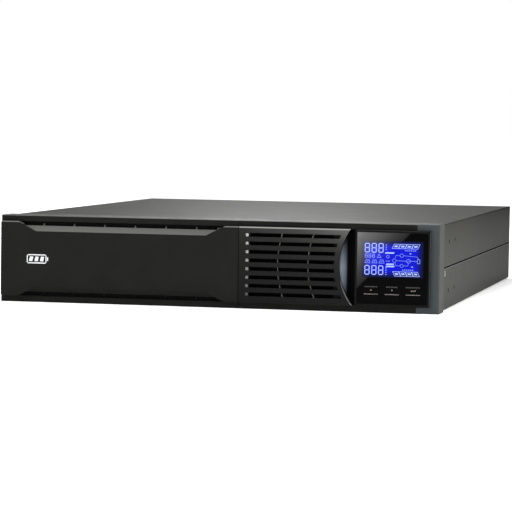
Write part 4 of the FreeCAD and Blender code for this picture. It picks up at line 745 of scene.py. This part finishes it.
def add_shade_sheets():
    """Dark foam behind the grille's slots, and a dark felt strip behind the vents above and below the door;
    both stand in for the shade inside.
    """
    low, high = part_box("vent_grille")
    end_margin, scoop_margin, edge_margin = 9.5 * MM, 0.6 * MM, 4 * MM
    front, back = low.y + 11 * MM, low.y + 17 * MM
    foam_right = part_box("finger_scoop")[0].x - scoop_margin
    # Painted shade: black foam so the grille's slots look dark
    foam = slab("shade_foam", (low.x + end_margin, foam_right), (front, back),
                (low.z + edge_margin, high.z - edge_margin))
    finish_piece(foam, SHADE_FOAM, "root")
    door_low, door_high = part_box("battery_door")
    top_vent, bottom_vent = door_high.z - 8.4 * MM, door_low.z + 8.2 * MM
    half_height = 4.6 * MM
    along = (door_low.x + 20 * MM, door_high.x - 6 * MM)
    through = (door_low.y + 7.4 * MM, door_low.y + 9.4 * MM)
    for name, level in (("vent_shade_top", top_vent), ("vent_shade_bottom", bottom_vent)):
        # Painted shade: black felt so the door's vents look dark
        felt = slab(name, along, through, (level - half_height, level + half_height))
        finish_piece(felt, SHADE_FOAM, "door")


def slot_spans():
    """The bottom and top of each slot; a stud stands beside each."""
    low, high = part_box("vent_studs")
    pitch = (high.z - low.z - STUD_HEIGHT) / (STUD_COUNT - 1)
    levels = [low.z + STUD_HEIGHT / 2 + index * pitch for index in range(STUD_COUNT)]
    return [(level - SLOT_HALF_HEIGHT, level + SLOT_HALF_HEIGHT) for level in levels]


def add_grille_edges():
    """Painted highlights on the two curved ribs and along the scoop's arc."""
    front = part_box("vent_grille")[0].y
    rib_setback, rib_thickness = 1.05 * MM, 0.62 * MM
    # Painted highlight: light grey wires along the ribs' fronts
    for name, rib in (("rib_edge_inner", INNER_RIB), ("rib_edge_outer", OUTER_RIB)):
        centre = (ARC_CENTRE[0] - rib["reach"] + rib["radius"], ARC_CENTRE[1])
        wire = arc_wire(name, centre, rib["radius"], front + rib_setback, rib_thickness, slot_spans())
        finish_piece(wire, RIB_HIGHLIGHT, "root")
    arc_setback, radius = 0.25 * MM, ARC_RADIUS + 0.1 * MM
    # Painted highlight along the arc's edge
    for name, thickness, span, material in (("arc_edge_low", 0.5 * MM, (7 * MM, 28 * MM), ARC_HIGHLIGHT),
                                            ("arc_edge_high", 0.4 * MM, (66 * MM, 78.5 * MM), RIB_HIGHLIGHT)):
        wire = arc_wire(name, ARC_CENTRE, radius, front + arc_setback, thickness, [span])
        finish_piece(wire, material, "root")


def side_strip(name, side, material, depths, setback, heights, edge):
    """A strip along one side of the case, from end to end; depths are measured outwards from that side."""
    sign, hand = side
    low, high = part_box("chassis")
    across = sorted(sign * (high.x + depth) for depth in depths)
    strip = slab(f"{name}_{hand}", across, (low.y + setback, high.y - setback), heights, edge)
    finish_piece(strip, material, "root")


def add_seams():
    """On each side painted shade in the seam between cover and chassis, and a painted highlight on the lip
    below it.
    """
    seam_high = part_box("top_cover")[0].z
    seam_low = seam_high - SEAM_GAP
    for side in SIDES:
        # Painted shade: a black strip in the seam's groove
        side_strip("seam_shadow_strip", side, GAP_SHADOW, depths=(-1.1 * MM, 0.03 * MM), setback=0.5 * MM,
                   heights=(seam_low - 0.05 * MM, seam_high + 0.25 * MM), edge=0.05 * MM)
        # Painted highlight: a light strip along the lower chassis's edge
        side_strip("seam_highlight", side, LIT_EDGE, depths=(-0.3 * MM, 0.04 * MM), setback=0.5 * MM,
                   heights=(seam_low - 0.5 * MM, seam_low - 0.08 * MM), edge=0.1 * MM)


def add_cover_edges():
    """Painted shade: a dark line along the bend between the cover's top and each side."""
    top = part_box("top_cover")[1].z
    for side in SIDES:
        # Painted shade on the bend
        side_strip("cover_bend_shade", side, BEND_SHADE, depths=(-0.85 * MM, -0.03 * MM), setback=0.3 * MM,
                   heights=(top - 0.85 * MM, top - 0.03 * MM), edge=0.2 * MM)


def add_bezel_notch():
    """A small dark slab near the back edge of the bezel's top, painted shade that stands in for a notch."""
    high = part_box("front_bezel")[1]
    left, width, depth = 50 * MM, 3.5 * MM, 0.3 * MM
    front, back = high.y - 3 * MM, high.y - 1.6 * MM
    # Painted shade of a notch
    notch = slab("bezel_notch", (left, left + width), (front, back), (high.z - depth, high.z + HAIR),
                 edge=0.05 * MM)
    finish_piece(notch, GAP_SHADOW, "root")


# Stage, light and camera

CAMERA_PLACE = (0.5609, -2.7221, 0.1887)
CAMERA_TURN = (-12.13, -3.164, 0.878)    # yaw, pitch and roll in degrees; yaw 0 looks along +Y
CAMERA_LENS = 180.0
SENSOR_WIDTH = 36


def stage():
    """White paper on the floor, which glows a little so that the shadow stays faint, and a white sky."""
    bpy.ops.mesh.primitive_plane_add(size=40)
    floor = bpy.context.object
    floor.name = "floor"
    paper = Shader("floor_paper", Roughness=0.9, Emission_Color=(1, 1, 1, 1), Emission_Strength=0.2)
    paper.mottle((0.85, 0.85, 0.85), 0.01, 3)
    floor.data.materials.append(paper.material)
    world = bpy.data.worlds.new("studio")
    bpy.context.scene.world = world
    world.use_nodes = True
    background = world.node_tree.nodes["Background"]
    background.inputs["Color"].default_value = (1, 1, 1, 1)
    background.inputs["Strength"].default_value = 1.0


def sun():
    light = bpy.data.lights.new("sky_fill", "SUN")
    light.energy = 0.25
    light.angle = math.radians(60)
    lamp = add_piece("sky_fill", light)
    lamp.rotation_euler = (math.radians(-20), math.radians(10), 0)


def area_light(name, place, target, size, power, spread=180):
    """A rectangular lamp; its power is in watts and its spread in degrees."""
    light = bpy.data.lights.new(name, "AREA")
    light.spread = math.radians(spread)
    light.shape = "RECTANGLE"
    light.size, light.size_y = size
    light.energy = power
    lamp = add_piece(name, light)
    lamp.location = place
    lamp.rotation_euler = (Vector(target) - Vector(place)).to_track_quat("-Z", "Y").to_euler()


def camera():
    """A long lens from the right, a little above the unit."""
    yaw, pitch, roll = (math.radians(angle) for angle in CAMERA_TURN)
    forward = Vector((math.sin(yaw) * math.cos(pitch), math.cos(yaw) * math.cos(pitch), math.sin(pitch)))
    level = Vector((math.cos(yaw), -math.sin(yaw), 0))
    upright = level.cross(forward)
    right = math.cos(roll) * level + math.sin(roll) * upright
    up = math.cos(roll) * upright - math.sin(roll) * level
    lens = bpy.data.cameras.new("camera")
    lens.sensor_width = SENSOR_WIDTH
    lens.lens = CAMERA_LENS
    lens.clip_end = 100
    view = add_piece("camera", lens)
    turn = Matrix((right, up, -forward)).transposed().to_4x4()
    view.matrix_world = Matrix.Translation(CAMERA_PLACE) @ turn
    bpy.context.scene.camera = view


dress_nodes()
add_screen_marks()
add_key_marks()
for key_name in KEY_TICKS:
    add_key_bar(key_name)
add_badge_mark()
add_shade_sheets()
add_grille_edges()
add_seams()
add_cover_edges()
add_bezel_notch()

stage()
sun()
area_light("overhead", place=(-0.25, -0.3, 1.6), target=(-0.1, -0.28, 0.05), size=(1.8, 0.5), power=34)
area_light("back_strip", place=(-0.47, 2.3, 1.1), target=(0, 0, 0.08), size=(0.36, 0.6), power=18.5)
area_light("right_side", place=(2.2, -0.3, 0.3), target=(0.22, -0.38, 0.0), size=(0.5, 0.5), power=6,
           spread=36)
camera()
bpy.context.scene.view_settings.view_transform = "Standard"
